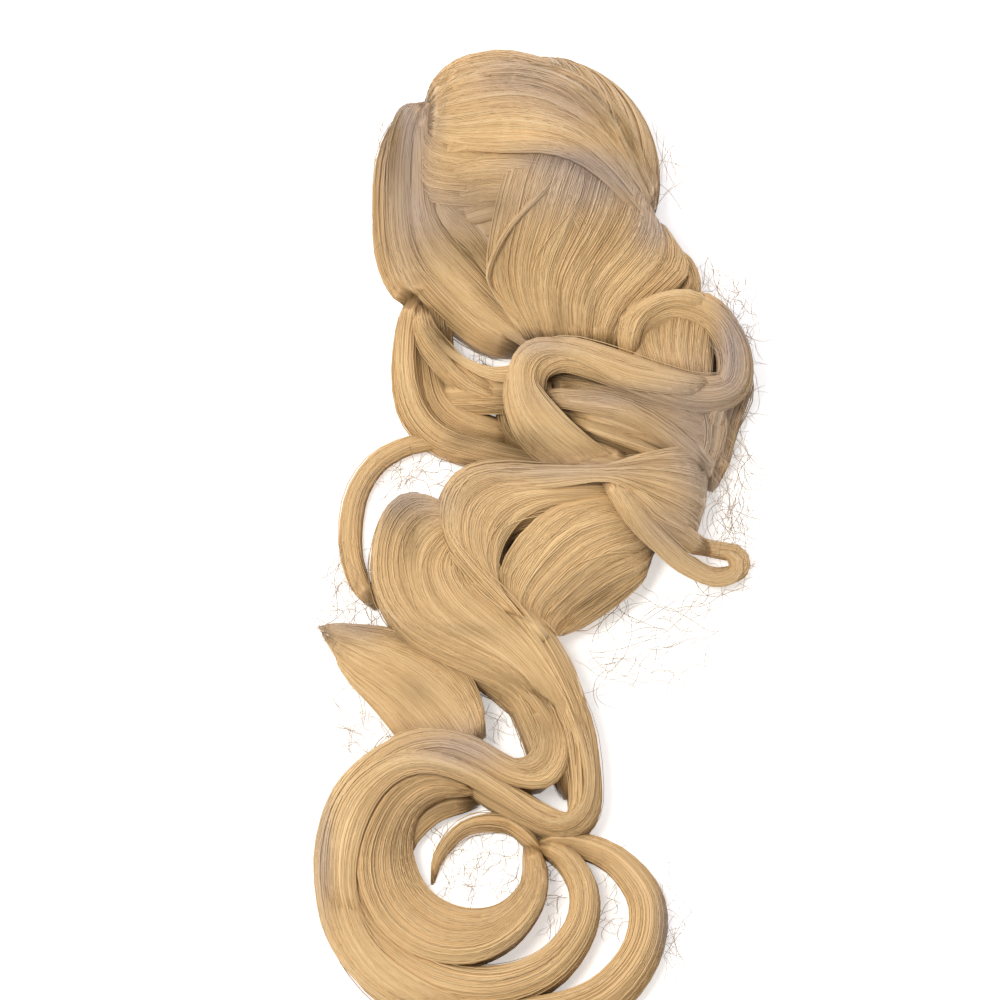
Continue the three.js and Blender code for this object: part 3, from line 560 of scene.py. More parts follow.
         [(45.6, 69, 34), (45.4, 67.2, 26), (45.6, 65.4, 22), (46, 63.8, 20)]],
        [[(42.8, 62.6, 20), (46, 62.2, 32), (49, 62.2, 43), (52, 62.1, 53), (55, 61.8, 58)],
         [(42.9, 60.8, 20), (46, 60.5, 30), (49.4, 60.5, 41), (52.4, 60.5, 50), (55.2, 60.2, 56)],
         [(43.2, 59, 16), (46.6, 58.6, 26), (50, 58.4, 36), (53, 58.3, 45), (55.6, 58.4, 52)]],
        [[(41.6, 70, 42), (43.4, 66.9, 45), (46, 64.6, 48), (49, 63.4, 52), (51.4, 63.8, 60),
          (53.8, 65.2, 67)],
         [(41.6, 69, 42), (43.4, 65.8, 46), (46.2, 63.4, 48), (49.2, 62, 52), (52, 62, 60),
          (54.6, 63.6, 67)]],
    ],
    "curl_lock": [
        [[(62.6, 69.6, 62), (61.9, 67.4, 60), (62, 65.2, 60), (63.2, 63.2, 62)],
         [(64.8, 70.6, 64), (64, 68.2, 60), (64.2, 65.6, 58), (65.4, 62.8, 61)],
         [(67.6, 70.9, 64), (66.8, 68.4, 59), (66.8, 65.4, 57), (67.6, 62.4, 60)],
         [(70.2, 70, 62), (69.6, 67.6, 57), (69.4, 64.8, 55), (69.8, 62, 58)],
         [(72.6, 68.2, 54), (72, 66.4, 46), (71.8, 64.2, 44), (71.8, 61.6, 50)]],
        [[(62, 62.8, 54), (61.8, 66.4, 67), (63, 69.2, 70), (66, 71, 70), (69.4, 71.2, 66),
          (71.8, 69.8, 60)],
         [(63, 62.9, 56), (62.9, 66.2, 69), (64, 68.6, 71), (66.4, 70.1, 71), (69, 70.2, 67),
          (71.4, 69, 61)],
         [(64, 63.2, 54), (64.1, 66.2, 66), (65, 68, 68), (66.8, 69.2, 68), (68.8, 69.3, 66),
          (70.8, 68.4, 60)]],
        [[(57.4, 51.8, 56), (55.6, 54, 63), (53.2, 56.2, 66), (51.6, 58.6, 68), (50.8, 61.4, 69),
          (51, 64.2, 70), (52.8, 66.2, 71), (55.6, 66.5, 71), (58.6, 65.9, 71), (62.3, 64.6, 70),
          (65.8, 63.7, 68), (69.4, 62.9, 63), (73, 62, 44)],
         [(59.4, 52.2, 57), (57.2, 54.5, 65), (54.4, 56.8, 68), (52.6, 59.2, 70), (51.9, 61.6, 71),
          (52.1, 63.9, 72), (53.5, 65.2, 73), (55.8, 65.4, 73), (58.6, 64.8, 73), (62.3, 63.4, 72),
          (65.8, 62.7, 70), (69.4, 62.1, 65), (73, 61.8, 45)],
         [(61.4, 52.6, 57), (58.8, 54.9, 66), (55.8, 57.4, 69), (53.6, 60, 71), (52.9, 61.9, 72),
          (53.1, 63.5, 72), (54.2, 64.6, 73), (56.2, 64.7, 73), (58.8, 64, 73), (62.3, 62.4, 72),
          (65.8, 61.7, 70), (69.4, 61.3, 65), (73, 61.6, 45)],
         [(63.4, 53.2, 56), (60.4, 55.4, 64), (57.2, 58, 67), (54.8, 60.6, 69), (53.8, 62, 70),
          (54, 63.2, 71), (55, 64, 71), (56.6, 63.9, 71), (59, 63, 71), (62.3, 61.3, 70),
          (65.8, 60.7, 68), (69.4, 60.5, 63), (73, 61.4, 44)]],
        [[(55.5, 62.4, 56), (60, 61.6, 57), (64.5, 60.6, 56), (69, 59.6, 51), (73, 58, 40)],
         [(56, 60, 55), (60.4, 59, 56), (64.8, 57.8, 54), (69, 56.4, 48), (72.4, 54.6, 36)],
         [(57.4, 57.6, 51), (61.4, 56.6, 53), (65.2, 55.4, 51), (68.8, 54, 45), (71.8, 52.2, 34)]],
        [[(53.4, 61.4, 60), (57, 61.2, 64), (61, 60.8, 63), (65, 59.2, 60), (68.8, 56.6, 54),
          (71.8, 53.2, 42)],
         [(53.6, 60.4, 60), (57.4, 60, 64), (61, 59.4, 64), (64.6, 57.8, 61), (68.2, 55.4, 54),
          (71.2, 52.6, 42)],
         [(53.8, 59.4, 58), (57.8, 58.8, 61), (61, 58, 61), (64.2, 56.6, 58), (67.4, 54.6, 52),
          (70.6, 52.2, 41)]],
        [[(55.6, 59, 56), (59.4, 57.7, 57), (63.2, 56.5, 57), (66.4, 55, 54), (69.4, 53.8, 46)],
         [(56.4, 57.8, 54), (59.8, 56.7, 56), (63.2, 55.6, 57), (66.2, 54.4, 54), (69, 53.2, 46)],
         [(57.6, 56.7, 50), (60.4, 55.8, 54), (63.4, 54.8, 55), (66, 53.6, 53),
          (68.6, 52.6, 46)]],
        [[(68, 71.4, 50), (71.2, 71, 48), (73.8, 68.8, 44), (75, 65.6, 40), (74.6, 62, 38),
          (73, 58.8, 36), (72.2, 55, 30)],
         [(67.2, 70.6, 62), (70.4, 70, 60), (72.8, 68, 56), (73.7, 65.2, 53), (73.3, 62, 52),
          (72, 59, 48), (71.4, 55.4, 38)],
         [(66.8, 69.8, 62), (69.6, 69.2, 60), (71.6, 67.4, 57), (72.5, 65, 54), (72.2, 62.4, 54),
          (71, 59.6, 50), (70.4, 56, 42)]],
    ],
    "right_drop": [
        [[(69.6, 60.6, 52), (70, 58, 48), (70, 55.6, 44), (69.4, 53.4, 40)],
         [(71.2, 60.4, 46), (71.6, 57.8, 42), (71.4, 55.2, 38), (70.8, 52.6, 34)],
         [(73, 60.6, 38), (73, 57.8, 34), (72.4, 55, 31), (71.6, 52.2, 28)]],
    ],
    "right_loop": [
        [[(47.4, 53.4, 58), (53, 53.7, 66), (59.8, 53.7, 73), (64.6, 54.8, 64), (68.6, 55.4, 54),
          (72, 55, 24)],
         [(47.6, 52.6, 60), (53.4, 52.8, 68), (60.4, 53, 75), (65, 53, 63), (69.2, 52.2, 50),
          (71.8, 51.2, 18)],
         [(48.4, 51.8, 60), (54.2, 51.9, 68), (60.8, 52.3, 74), (65, 50.8, 61), (68.8, 48.8, 45),
          (71, 47.2, 14)],
         [(49.2, 50.9, 59), (55, 51, 66), (61.2, 51.7, 72), (64.4, 49, 58), (67.6, 46.2, 39),
          (69.8, 44.6, 12)]],
        [[(60.4, 52.6, 74), (61.8, 49.4, 70), (64.2, 46, 56), (67.6, 42.8, 36), (71, 41.2, 24),
          (73.6, 41.6, 19), (74.7, 43.4, 16), (73.8, 45, 17), (70.6, 45.9, 22)],
         [(61, 52.8, 76), (62.8, 49.7, 72), (65.2, 46.7, 59), (68.3, 43.7, 40), (71.2, 42.2, 29),
          (73, 42.5, 24), (73.7, 43.5, 21), (73, 44.5, 21), (70.4, 45.1, 25)],
         [(61.8, 52.8, 75), (63.8, 50.2, 69), (66.2, 47.6, 56), (68.9, 44.9, 39), (71.2, 43.4, 27),
          (72.4, 43.4, 22), (72.8, 43.8, 20), (72.2, 44.2, 20), (70.2, 44.4, 24)]],
    ],
    "body_wave": [
        [[(63, 53.4, 60), (53, 53.4, 64), (48.4, 53.6, 61), (45, 52.2, 58), (43.8, 48.6, 57),
          (45, 44.8, 57), (48.2, 41, 57), (52.4, 37, 46)],
         [(63.4, 52.2, 60), (53.6, 52.1, 66), (49.4, 52, 64), (46.6, 50.2, 62), (45.9, 47, 61),
          (47.1, 43.6, 60), (49.9, 40, 59), (53.4, 36.6, 46)],
         [(64, 51.1, 58), (54.8, 50.9, 65), (50.9, 50.1, 64), (48.7, 47.9, 62), (48.4, 44.9, 61),
          (49.7, 41.8, 60), (51.8, 39, 57), (54.2, 36.2, 45)],
         [(64.2, 50.4, 56), (56.6, 49.8, 62), (52.8, 48.5, 61), (50.6, 46, 60), (49.9, 43.3, 59),
          (50.5, 40.7, 58), (51.9, 38.4, 55), (54.4, 35.8, 43)]],
        [[(64.4, 50.8, 56), (60.4, 50.5, 61), (56, 49.7, 62), (52.5, 47.3, 61), (50.2, 43.8, 60),
          (50.4, 40.6, 58), (52, 37.6, 52)],
         [(66, 48.6, 46), (62, 47.9, 58), (58, 46.6, 60), (54.8, 44.2, 59), (52.6, 41.2, 57),
          (52.2, 39, 54), (53.4, 36.8, 48)],
         [(66.8, 46.8, 36), (62.8, 45.4, 51), (59.6, 44, 54), (56.6, 41.8, 52), (54.4, 39.6, 49),
          (54, 38, 46), (54.6, 36.4, 42)],
         [(66.6, 45, 26), (63.6, 43.2, 38), (60.6, 41.6, 41), (57.8, 39.8, 39), (56, 38.2, 37),
          (55.4, 37.2, 35), (55.4, 36.3, 33)],
         [(66.1, 43.6, 14), (64, 41.1, 22), (61.4, 38.9, 24), (58.9, 37.3, 21), (57, 36.5, 20),
          (56.4, 36.2, 20), (56.1, 36.1, 20)]],
    ],
}

# Places on the photograph with a painted ashen sheen, a cool reflection on hair that turns upward,
# and painted grey shade on some edges that face away: middle, half sizes in pixels, strength
PAINTED_SHEEN_AND_GREY_SHADE = [
    (560, 160, 50, 14, 0.8), (610, 180, 45, 20, 0.6), (560, 195, 70, 24, 0.45),
    (655, 225, 22, 26, 0.75), (520, 75, 45, 26, 0.6), (575, 105, 35, 26, 0.45),
    (400, 115, 18, 45, 0.8), (415, 205, 22, 70, 0.35), (738, 350, 18, 60, 0.7),
    (700, 470, 26, 80, 0.5), (535, 345, 40, 12, 0.5), (590, 395, 60, 12, 0.3),
    (560, 470, 80, 12, 0.5), (395, 500, 26, 22, 0.5), (465, 745, 50, 20, 0.7),
    (668, 915, 12, 60, 0.8), (326, 850, 8, 60, 0.6), (345, 625, 40, 14, 0.4),
    (660, 530, 30, 26, 0.35), (398, 160, 22, 80, 0.5), (455, 215, 45, 30, 0.55),
    (428, 115, 12, 30, 0.4), (420, 500, 40, 18, 0.5), (355, 620, 25, 22, 0.35),
    (690, 415, 40, 50, 0.5), (728, 340, 12, 60, 0.35), (620, 400, 50, 14, 0.35),
]

# Places with deep shade between the locks, in the same columns
SHADED = [
    (442, 332, 14, 26, 1.0), (520, 447, 38, 18, 1.0), (475, 252, 16, 12, 0.6),
    (540, 63, 30, 5, 0.5), (586, 93, 20, 7, 0.6), (613, 115, 14, 9, 0.7),
    (632, 140, 8, 16, 0.8), (643, 168, 6, 14, 0.8), (392, 130, 9, 36, 0.6),
    (575, 385, 24, 12, 0.6), (615, 448, 40, 8, 0.4), (412, 545, 8, 18, 0.6),
    (500, 205, 16, 8, 0.4), (505, 548, 8, 30, 0.5), (610, 600, 55, 26, 0.45),
    (400, 835, 22, 30, 0.4), (445, 803, 34, 9, 0.6), (515, 872, 8, 12, 0.7),
    (418, 690, 20, 16, 0.4), (500, 690, 30, 12, 0.35), (470, 630, 60, 8, 0.35),
    (560, 320, 6, 20, 0.5), (590, 300, 6, 30, 0.4), (335, 640, 20, 10, 0.3),
    (478, 205, 26, 34, 0.4), (395, 160, 18, 70, 0.4), (440, 245, 46, 26, 0.35),
    (630, 425, 60, 16, 0.35), (410, 515, 26, 18, 0.45), (470, 125, 40, 8, 0.2),
    (520, 725, 26, 12, 0.4), (360, 625, 16, 14, 0.3), (462, 440, 16, 10, 0.7),
]

# Places that catch the light and look a brighter gold, in the same columns
LIT = [
    (510, 128, 70, 12, 0.8), (540, 290, 30, 26, 0.4),
    (610, 275, 40, 20, 0.4), (405, 380, 10, 40, 0.5), (480, 380, 30, 10, 0.5),
    (545, 435, 22, 22, 0.8), (620, 420, 50, 8, 0.4), (560, 500, 60, 30, 0.4),
    (455, 530, 14, 50, 0.5), (530, 640, 40, 20, 0.5), (430, 655, 30, 14, 0.15),
    (350, 820, 18, 50, 0.6), (420, 760, 40, 10, 0.5), (400, 940, 50, 30, 0.5),
    (450, 975, 60, 14, 0.5), (585, 880, 8, 60, 0.4), (690, 560, 30, 10, 0.5),
    (560, 590, 30, 14, 0.3), (670, 320, 10, 40, 0.4), (655, 170, 10, 40, 0.4),
    (640, 120, 18, 50, 0.5), (500, 325, 40, 14, 0.5), (465, 800, 25, 12, 0.4),
    (500, 960, 80, 16, 0.5), (520, 545, 20, 26, 0.4), (590, 485, 30, 12, 0.3),
]

# Loose hairs: left, right, top and bottom in photo pixels, how many, length and curl in
# millimetres, heading in degrees, and the share of the crown's height they reach
LOOSE = [
    (662, 680, 140, 205, 14, 40, 1.0, 88, 0.35),
    (690, 756, 268, 400, 130, 26, 2.6, -70, 0.5),
    (712, 752, 405, 545, 110, 30, 2.8, -80, 0.4),
    (590, 715, 590, 690, 80, 36, 3.2, -160, 0.2),
    (318, 385, 555, 650, 70, 28, 3.0, 100, 0.2),
    (335, 400, 690, 765, 50, 26, 2.8, -110, 0.2),
    (655, 680, 860, 960, 30, 26, 2.4, -95, 0.2),
    (430, 518, 828, 894, 70, 20, 3.0, -120, 0.14),
    (545, 560, 850, 930, 24, 18, 2.4, -100, 0.2),
    (600, 622, 850, 930, 24, 18, 2.4, -100, 0.2),
    (458, 492, 332, 368, 30, 14, 2.4, -60, 0.3),
    (375, 450, 455, 500, 50, 22, 2.8, -140, 0.25),
    (475, 522, 665, 745, 44, 20, 2.6, -65, 0.3),
    (372, 384, 110, 270, 16, 26, 1.0, 92, 0.4),
    (705, 755, 540, 590, 20, 26, 2.8, 10, 0.15),
]
HEADING_SPREAD = 38
LOOSE_TONES = {"Gold": (0.42, 0.32, 0.22), "Light": (0.62, 0.50, 0.37),
               "Shadow": (0.20, 0.15, 0.10)}


class Hair:
    """Gathers the bodies and strands of one piece, and makes them one mesh.

    The flat map gives bodies its left share and strands the rest, a cell for each tube. The
    flow map runs across and along the hair.
    """

    BODY_SHARE = 0.3
    CELL_WIDTH, CELL_HEIGHT = 0.92, 0.98
    CELLS_PER_ROW = 12
    FLOW_STEP, FLOW_APART = 0.6, 7.3
    LOWEST = 0.05

    def __init__(self, name):
        self.name = name
        self.bodies, self.strands = [], []

    def body(self, rings, tint, across):
        """One closed body of rings of points, with its tint and its distance across."""
        self.bodies.append((rings[None], tint[None], across[None]))

    def tubes(self, points, radii, facing_way, tint, own=None, covered=True):
        """Adds thin tubes along rows of points, each with radii and tints, but for buried ones."""
        facing_way = np.broadcast_to(facing_way, points.shape)
        seen = buried(points, own, covered).mean(axis=1) < BURIED_SHARE
        points, radii, tint = points[seen], radii[seen], tint[seen]
        facing_way = facing_way[seen]
        tangent = unit(np.gradient(points, axis=1))
        first = unit(np.cross(tangent, facing_way))
        second = np.cross(tangent, first)
        turn = 2 * math.pi * np.arange(STRAND_SIDES) / STRAND_SIDES + 0.5 * math.pi
        rings = points[:, :, None] + radii[:, :, None, None] * (
            first[:, :, None] * np.cos(turn)[:, None] + second[:, :, None] * np.sin(turn)[:, None])
        across = (np.arange(STRAND_SIDES + 1) * self.FLOW_STEP
                  + self.FLOW_APART * np.arange(len(points))[:, None])
        tints = np.broadcast_to(tint[:, :, None], rings.shape[:3])
        self.strands.append((rings, tints, across))

    def triangles(self):
        return sum(r.shape[0] * (2 * r.shape[2] * (r.shape[1] - 1) + 2 * (r.shape[2] - 2))
                   for r, *_ in self.bodies + self.strands)

    def cells(self, records, left, right):
        """Gives every tube its own cell of the flat map: left, bottom, width and height."""
        total = sum(rings.shape[0] for rings, *_ in records)
        few = total <= 2 * self.CELLS_PER_ROW
        rows = 1 if few else max(1, round(math.sqrt(total / self.CELLS_PER_ROW)))
        columns = math.ceil(total / rows)
        index = np.arange(total)
        wide, high = (right - left) / columns, 1 / rows
        low = np.stack([left + (index % columns) * wide, (index // columns) * high], axis=1)
        cell, start = [], 0
        for rings, *_ in records:
            cell.append((low[start:start + rings.shape[0]], wide * self.CELL_WIDTH,
                         high * self.CELL_HEIGHT))
            start += rings.shape[0]
        return cell

    def mesh(self):
        points, corners, starts, bake, flow, tints = [], [], [], [], [], []
        vertex, loop = 0, 0
        records = self.bodies + self.strands
        split = self.BODY_SHARE if self.bodies and self.strands else float(bool(self.bodies))
        cells = self.cells(self.bodies, 0, split) if self.bodies else []
        if self.strands:
            cells += self.cells(self.strands, split, 1)
        for (rings, tint, across), (low, wide, high) in zip(records, cells):
            count, stations, sides, _ = rings.shape
            points.append(rings.reshape(-1, 3))
            tints.append(tint.reshape(-1))
            middle = rings.mean(axis=2)
            steps = np.linalg.norm(np.diff(middle, axis=1), axis=2)
            along = np.concatenate([np.zeros((count, 1)), np.cumsum(steps, axis=1)], axis=1)
            tube = np.arange(count)[:, None, None] * stations * sides + vertex
            ring, side = np.arange(stations - 1)[:, None], np.arange(sides)
            after = (side + 1) % sides
            quads = np.stack([ring * sides + side, ring * sides + after,
                              (ring + 1) * sides + after, (ring + 1) * sides + side], axis=-1)
            quads = tube[..., None] + quads[None]
            corners.append(quads.reshape(-1))
            starts.append(loop + 4 * np.arange(quads.size // 4))
            loop += quads.size
            u = np.stack([side, side + 1, side + 1, side], axis=-1)[None]
            v = np.stack([ring, ring, ring + 1, ring + 1], axis=-1)
            u, v = np.broadcast_arrays(u, v)
            place = low[:, None, None, None] + np.stack(
                [u / sides * wide, v / (stations - 1) * high], axis=-1)[None]
            bake.append(place.reshape(-1, 2))
            flow.append(np.stack([across[:, u], along[:, v]], axis=-1).reshape(-1, 2))
            for end, order in ((0, side[::-1]), (stations - 1, side)):
                caps = tube[:, 0] + end * sides + order
                corners.append(caps.reshape(-1))
                starts.append(loop + sides * np.arange(count))
                loop += caps.size
                spot = low[:, None] + np.stack(
                    [order / sides * wide, np.full(sides, end / (stations - 1) * high)], axis=-1)
                bake.append(spot.reshape(-1, 2))
                flow.append(np.stack([across[:, order], along[:, [end] * sides]], axis=-1)
                            .reshape(-1, 2))
            vertex += rings.size // 3
        points = np.concatenate(points)
        points[:, 2] = np.maximum(points[:, 2], self.LOWEST)
        data = bpy.data.meshes.new(self.name)
        data.vertices.add(len(points))
        data.vertices.foreach_set("co", (points * MM).astype(np.float32).ravel())
        corners, starts = np.concatenate(corners), np.concatenate(starts)
        data.loops.add(len(corners))
        data.loops.foreach_set("vertex_index", corners.astype(np.int32))
        data.polygons.add(len(starts))
        data.polygons.foreach_set("loop_start", starts.astype(np.int32))
        for name, rows in (("OFBake", bake), ("Flow", flow)):
            layer = data.uv_layers.new(name=name)
            layer.data.foreach_set("uv", np.concatenate(rows).astype(np.float32).ravel())
        data.update(calc_edges=True)
        data.shade_smooth()
        # Painted shade darkens hair that lies under the hair around it, and the lit places get a
        # painted highlight
        below = SOFT_TOP[cell_of(points)] - points[:, 2]
        deep = np.clip((below + DEPTH_START) / DEPTH_REACH, DEPTH_LEAST, 1)
        tint = np.concatenate(tints) - PAINTED_DEPTH_SHADE * deep + LIT_TINT * spots(points, LIT)
        # The look holds the tint with its painted light and shade, the painted ashen sheen and grey
        # shade, and the painted deep shade
        colours = np.column_stack([tint, spots(points, PAINTED_SHEEN_AND_GREY_SHADE), spots(points, SHADED),
                                   np.ones(len(points))])
        layer = data.attributes.new("look", "FLOAT_COLOR", "POINT")
        layer.data.foreach_set("color", colours.astype(np.float32).ravel())
        return data


def buried(points, own, covered):
    """Which points lie inside other locks or, where covered, well under a draped sheet."""
    flat = points.reshape(-1, 3)
    inside = np.zeros(len(flat), bool)
    for lock in ALL_LOCKS:
        if lock is own:
            continue
        row = lock.dense[::EVERY]
        centre, half, rise = row[:, :3], row[:, 9], row[:, 10]
        low = (centre - np.maximum(half, rise)[:, None]).min(axis=0)
        high = (centre + np.maximum(half, rise)[:, None]).max(axis=0)
        near = np.flatnonzero(((flat > low) & (flat < high)).all(axis=1) & ~inside)
        if not len(near):
            continue
        away = flat[near][:, None] - centre
        best = (away ** 2).sum(axis=2).argmin(axis=1)
        away = away[np.arange(len(near)), best]
        row = row[best]
        a = (away * row[:, 3:6]).sum(axis=1) / row[:, 9]
        b = (away * row[:, 6:9]).sum(axis=1) / row[:, 10]
        c = np.abs((away * row[:, 11:]).sum(axis=1))
        inside[near] = (a * a + b * b < INSIDE) & (c < lock.length / REACH_ALONG)
    if covered:
        inside |= flat[:, 2] < SHEET_TOP[cell_of(flat)] - SHEET_COVER
    return inside.reshape(points.shape[:-1])


def cell_of(points):
    """The row and column of the height map that each point lies in."""
    place = (points[:, :2] - MAP_LOW) / MAP_CELL
    place = np.clip(place.astype(int), 0, np.array(MAP_CELLS) - 1)
    return place[:, 0], place[:, 1]


def spread(heights, reach):
    """The mean of the height map over a square window."""
    for axis in (0, 1):
        total = sum(np.roll(heights, k, axis=axis) for k in range(-reach, reach + 1))
        heights = total / (2 * reach + 1)
    return heights


def spots(points, table):
    """How strongly each point lies in the table's soft spots, seen as in the photograph."""
    px, py = photo_place(points)
    total = np.zeros(len(points))
    for x, y, wide, high, strength in table:
        total += strength * np.exp(-((px - x) / wide) ** 2 - ((py - y) / high) ** 2)
    return np.clip(total, 0, 1)


def photo_place(points):
    """The photo's pixel of each point."""
    x, y, z = (points - SHIFT).T
    px = (x / COLUMN + PLAN_MIDDLE[0]) * PIXELS_PER_SQUARE
    py = PHOTO_WIDTH - ((y + z * RISE_BACK) / ROW + PLAN_MIDDLE[1]) * PIXELS_PER_SQUARE
    return px, py


def waves(rng, count, shares, turns, size):
    """Smooth small swings, one row for each of count, over the shares of a length."""
    total = 0
    for k in (1, 2, 3.3):
        phase = rng.uniform(0, 2 * math.pi, (count, 1))
        height = rng.normal(0, 1, (count, 1)) / k
        total = total + height * np.sin(2 * math.pi * turns * k * shares + phase)
    return size * total


def ridges(rng):
    """How a surface of combed hair rises and falls across it and drifts along it, -1 to 1."""
    phase = rng.uniform(0, 2 * math.pi, (3, 2))
    sway = rng.uniform(0.5, 1.6, 3)

    def height(across, share):
        total = 0
        for k, (part, pitch) in enumerate(((0.5, 0.8), (0.3, 1.5), (0.2, 2.9))):
            drift = sway[k] * np.sin(2 * math.pi * share * (0.5 + 0.4 * k) + phase[k, 1])
            total = total + part * np.cos(2 * math.pi * across * pitch / CLUMP_WIDTH
                                          + phase[k, 0] + drift)
        return total

    return height


def stations(line):
    """Shares along a line that lie closer where it bends."""
    tangent = unit(np.gradient(line, axis=0))
    step = np.linalg.norm(np.gradient(line, axis=0), axis=1)
    bend = np.linalg.norm(np.gradient(tangent, axis=0), axis=1) / step
    window = 2 * BEND_WINDOW + 1
    bend = np.convolve(np.pad(bend, BEND_WINDOW, "edge"), np.ones(window) / window, "valid")
    need = np.clip(np.sqrt(bend / CHORD_ERROR / 8), 1 / LONGEST_STEP, 1 / SHORTEST_STEP) * step
    walked = np.concatenate([[0], np.cumsum((need[1:] + need[:-1]) / 2)])
    count = max(FEWEST_RINGS, round(walked[-1]) + 1)
    return np.interp(np.linspace(0, walked[-1], count), walked, np.linspace(0, 1, len(line)))


def closing(share, length):
    """How near a place on a lock or sheet is to either end, from 1 at the end to 0."""
    near = np.clip(np.minimum(share, 1 - share) * length / TAPER, 0, 1)
    return 1 - np.sqrt(1 - (1 - near) ** 2)


def some(rng, count, share):
    """Marks a share of the strands, at random."""
    return rng.uniform(0, 1, (count, 1)) < share


def missing(rng, count):
    """How much of its length each strand lacks at one end: a little, or much if ragged."""
    most = np.where(rng.uniform(0, 1, count) < RAGGED_SHARE, RAGGED_SHORTER, EVEN_SHORTER)
    return most * rng.uniform(0, 1, count)


def spans(rng, count, marks):
    """Where each strand runs, as rows of shares of the length. Most go from end to end."""
    start = missing(rng, count)
    end = 1 - missing(rng, count)
    return start[:, None] + (end - start)[:, None] * marks


def strand_tones(rng, base, height):
    """Each strand's tone: one of its own, with painted light where it lies on a ridge and painted
    shade between ridges.
    """
    return base + TONE_SPREAD * rng.normal(0, 1, (len(height), 1)) + RIDGE_LIGHT_AND_SHADE * height


def finish_strands(rng, hair, points, out, s, tone, own=None, thick=1.0, covered=True):
    """Gives strands their thickness and taper, lifts them off the floor and adds them."""
    size = STRAND_RADIUS * thick * rng.uniform(0.6, 1.3, (len(points), 1))
    radii = size * np.minimum(1, np.minimum(s, 1 - s) * 7 + 0.15)
    points[..., 2] = np.maximum(points[..., 2], radii + 0.1)
    tones = np.broadcast_to(tone, radii.shape)
    hair.tubes(points, radii, out, tones, own=own, covered=covered)


def comb(lock, rng, hair):
    """A lock's body with combed ridges, and the strands that lie on it."""
    marks = stations(lock.dense[:, :3])
    middle_half = lock.dense[:, 9].mean()
    relief = ridges(rng)
    twist = waves(rng, 1, GRID_SHARES, 0.7, 0.16)[0]
    deep_ridge = min(RIDGE, RIDGE_SHARE * middle_half)

    def spot(angle, t, lift):
        centre, side, out, half, rise, _ = lock.at(t)
        rolled = angle + np.interp(t, GRID_SHARES, twist)
        shut = closing(t, lock.length)
        size = (1 + lift / middle_half) * (1 - LOCK_END * shut)
        centre = centre - out * (LOCK_DIVE * shut)[..., None]
        return (centre + side * (half * size * np.cos(rolled))[..., None]
                + out * (rise * size * np.sin(rolled))[..., None]), out

    turn = -2 * math.pi * np.arange(BODY_SIDES)[None] / BODY_SIDES
    rise_and_fall = relief((turn + 2 * math.pi) % (2 * math.pi) * middle_half, marks[:, None])
    lift = deep_ridge * (rise_and_fall - 1) - BODY_UNDER
    rings, _ = spot(turn + 0 * marks[:, None], marks[:, None] + 0 * turn, lift)
    # The body's tint is painted shade under the strands, with painted light on its ridges and
    # painted shade in its grooves
    tint = BODY_TONE_IN_SHADE + RIDGE_LIGHT_AND_SHADE * rise_and_fall
    girth = math.pi * (middle_half + lock.dense[:, 10].mean())
    hair.body(rings, tint, np.arange(BODY_SIDES + 1) / BODY_SIDES * girth)

    low, high = -LOCK_REACH, math.pi + LOCK_REACH
    count = max(12, int(STRANDS_PER_MM * LOCK_DENSITY * (high - low) * middle_half))
    theta = rng.uniform(low, high, count)
    t = spans(rng, count, marks)
    s = np.linspace(0, 1, len(marks))
    height = relief((theta % (2 * math.pi))[:, None] * middle_half, t)
    roam = 0.02 + 0.16 * some(rng, count, 0.1)
    angle = theta[:, None] + waves(rng, count, t, 0.9, 1.0) * roam
    stray = some(rng, count, 0.07) * rng.uniform(0.2, 1.9, (count, 1))
    lift = (deep_ridge * (height - 1) - SCATTER * rng.uniform(0, 1, (count, 1)) ** 2
            + waves(rng, count, t, 0.8, 0.06) + stray * np.sin(math.pi * s) ** 2)
    points, out = spot(angle, t, lift)
    tone = strand_tones(rng, STRAND_TONE, height)
    finish_strands(rng, hair, points, out, s, tone + waves(rng, count, t, 0.8, 0.03), own=lock)


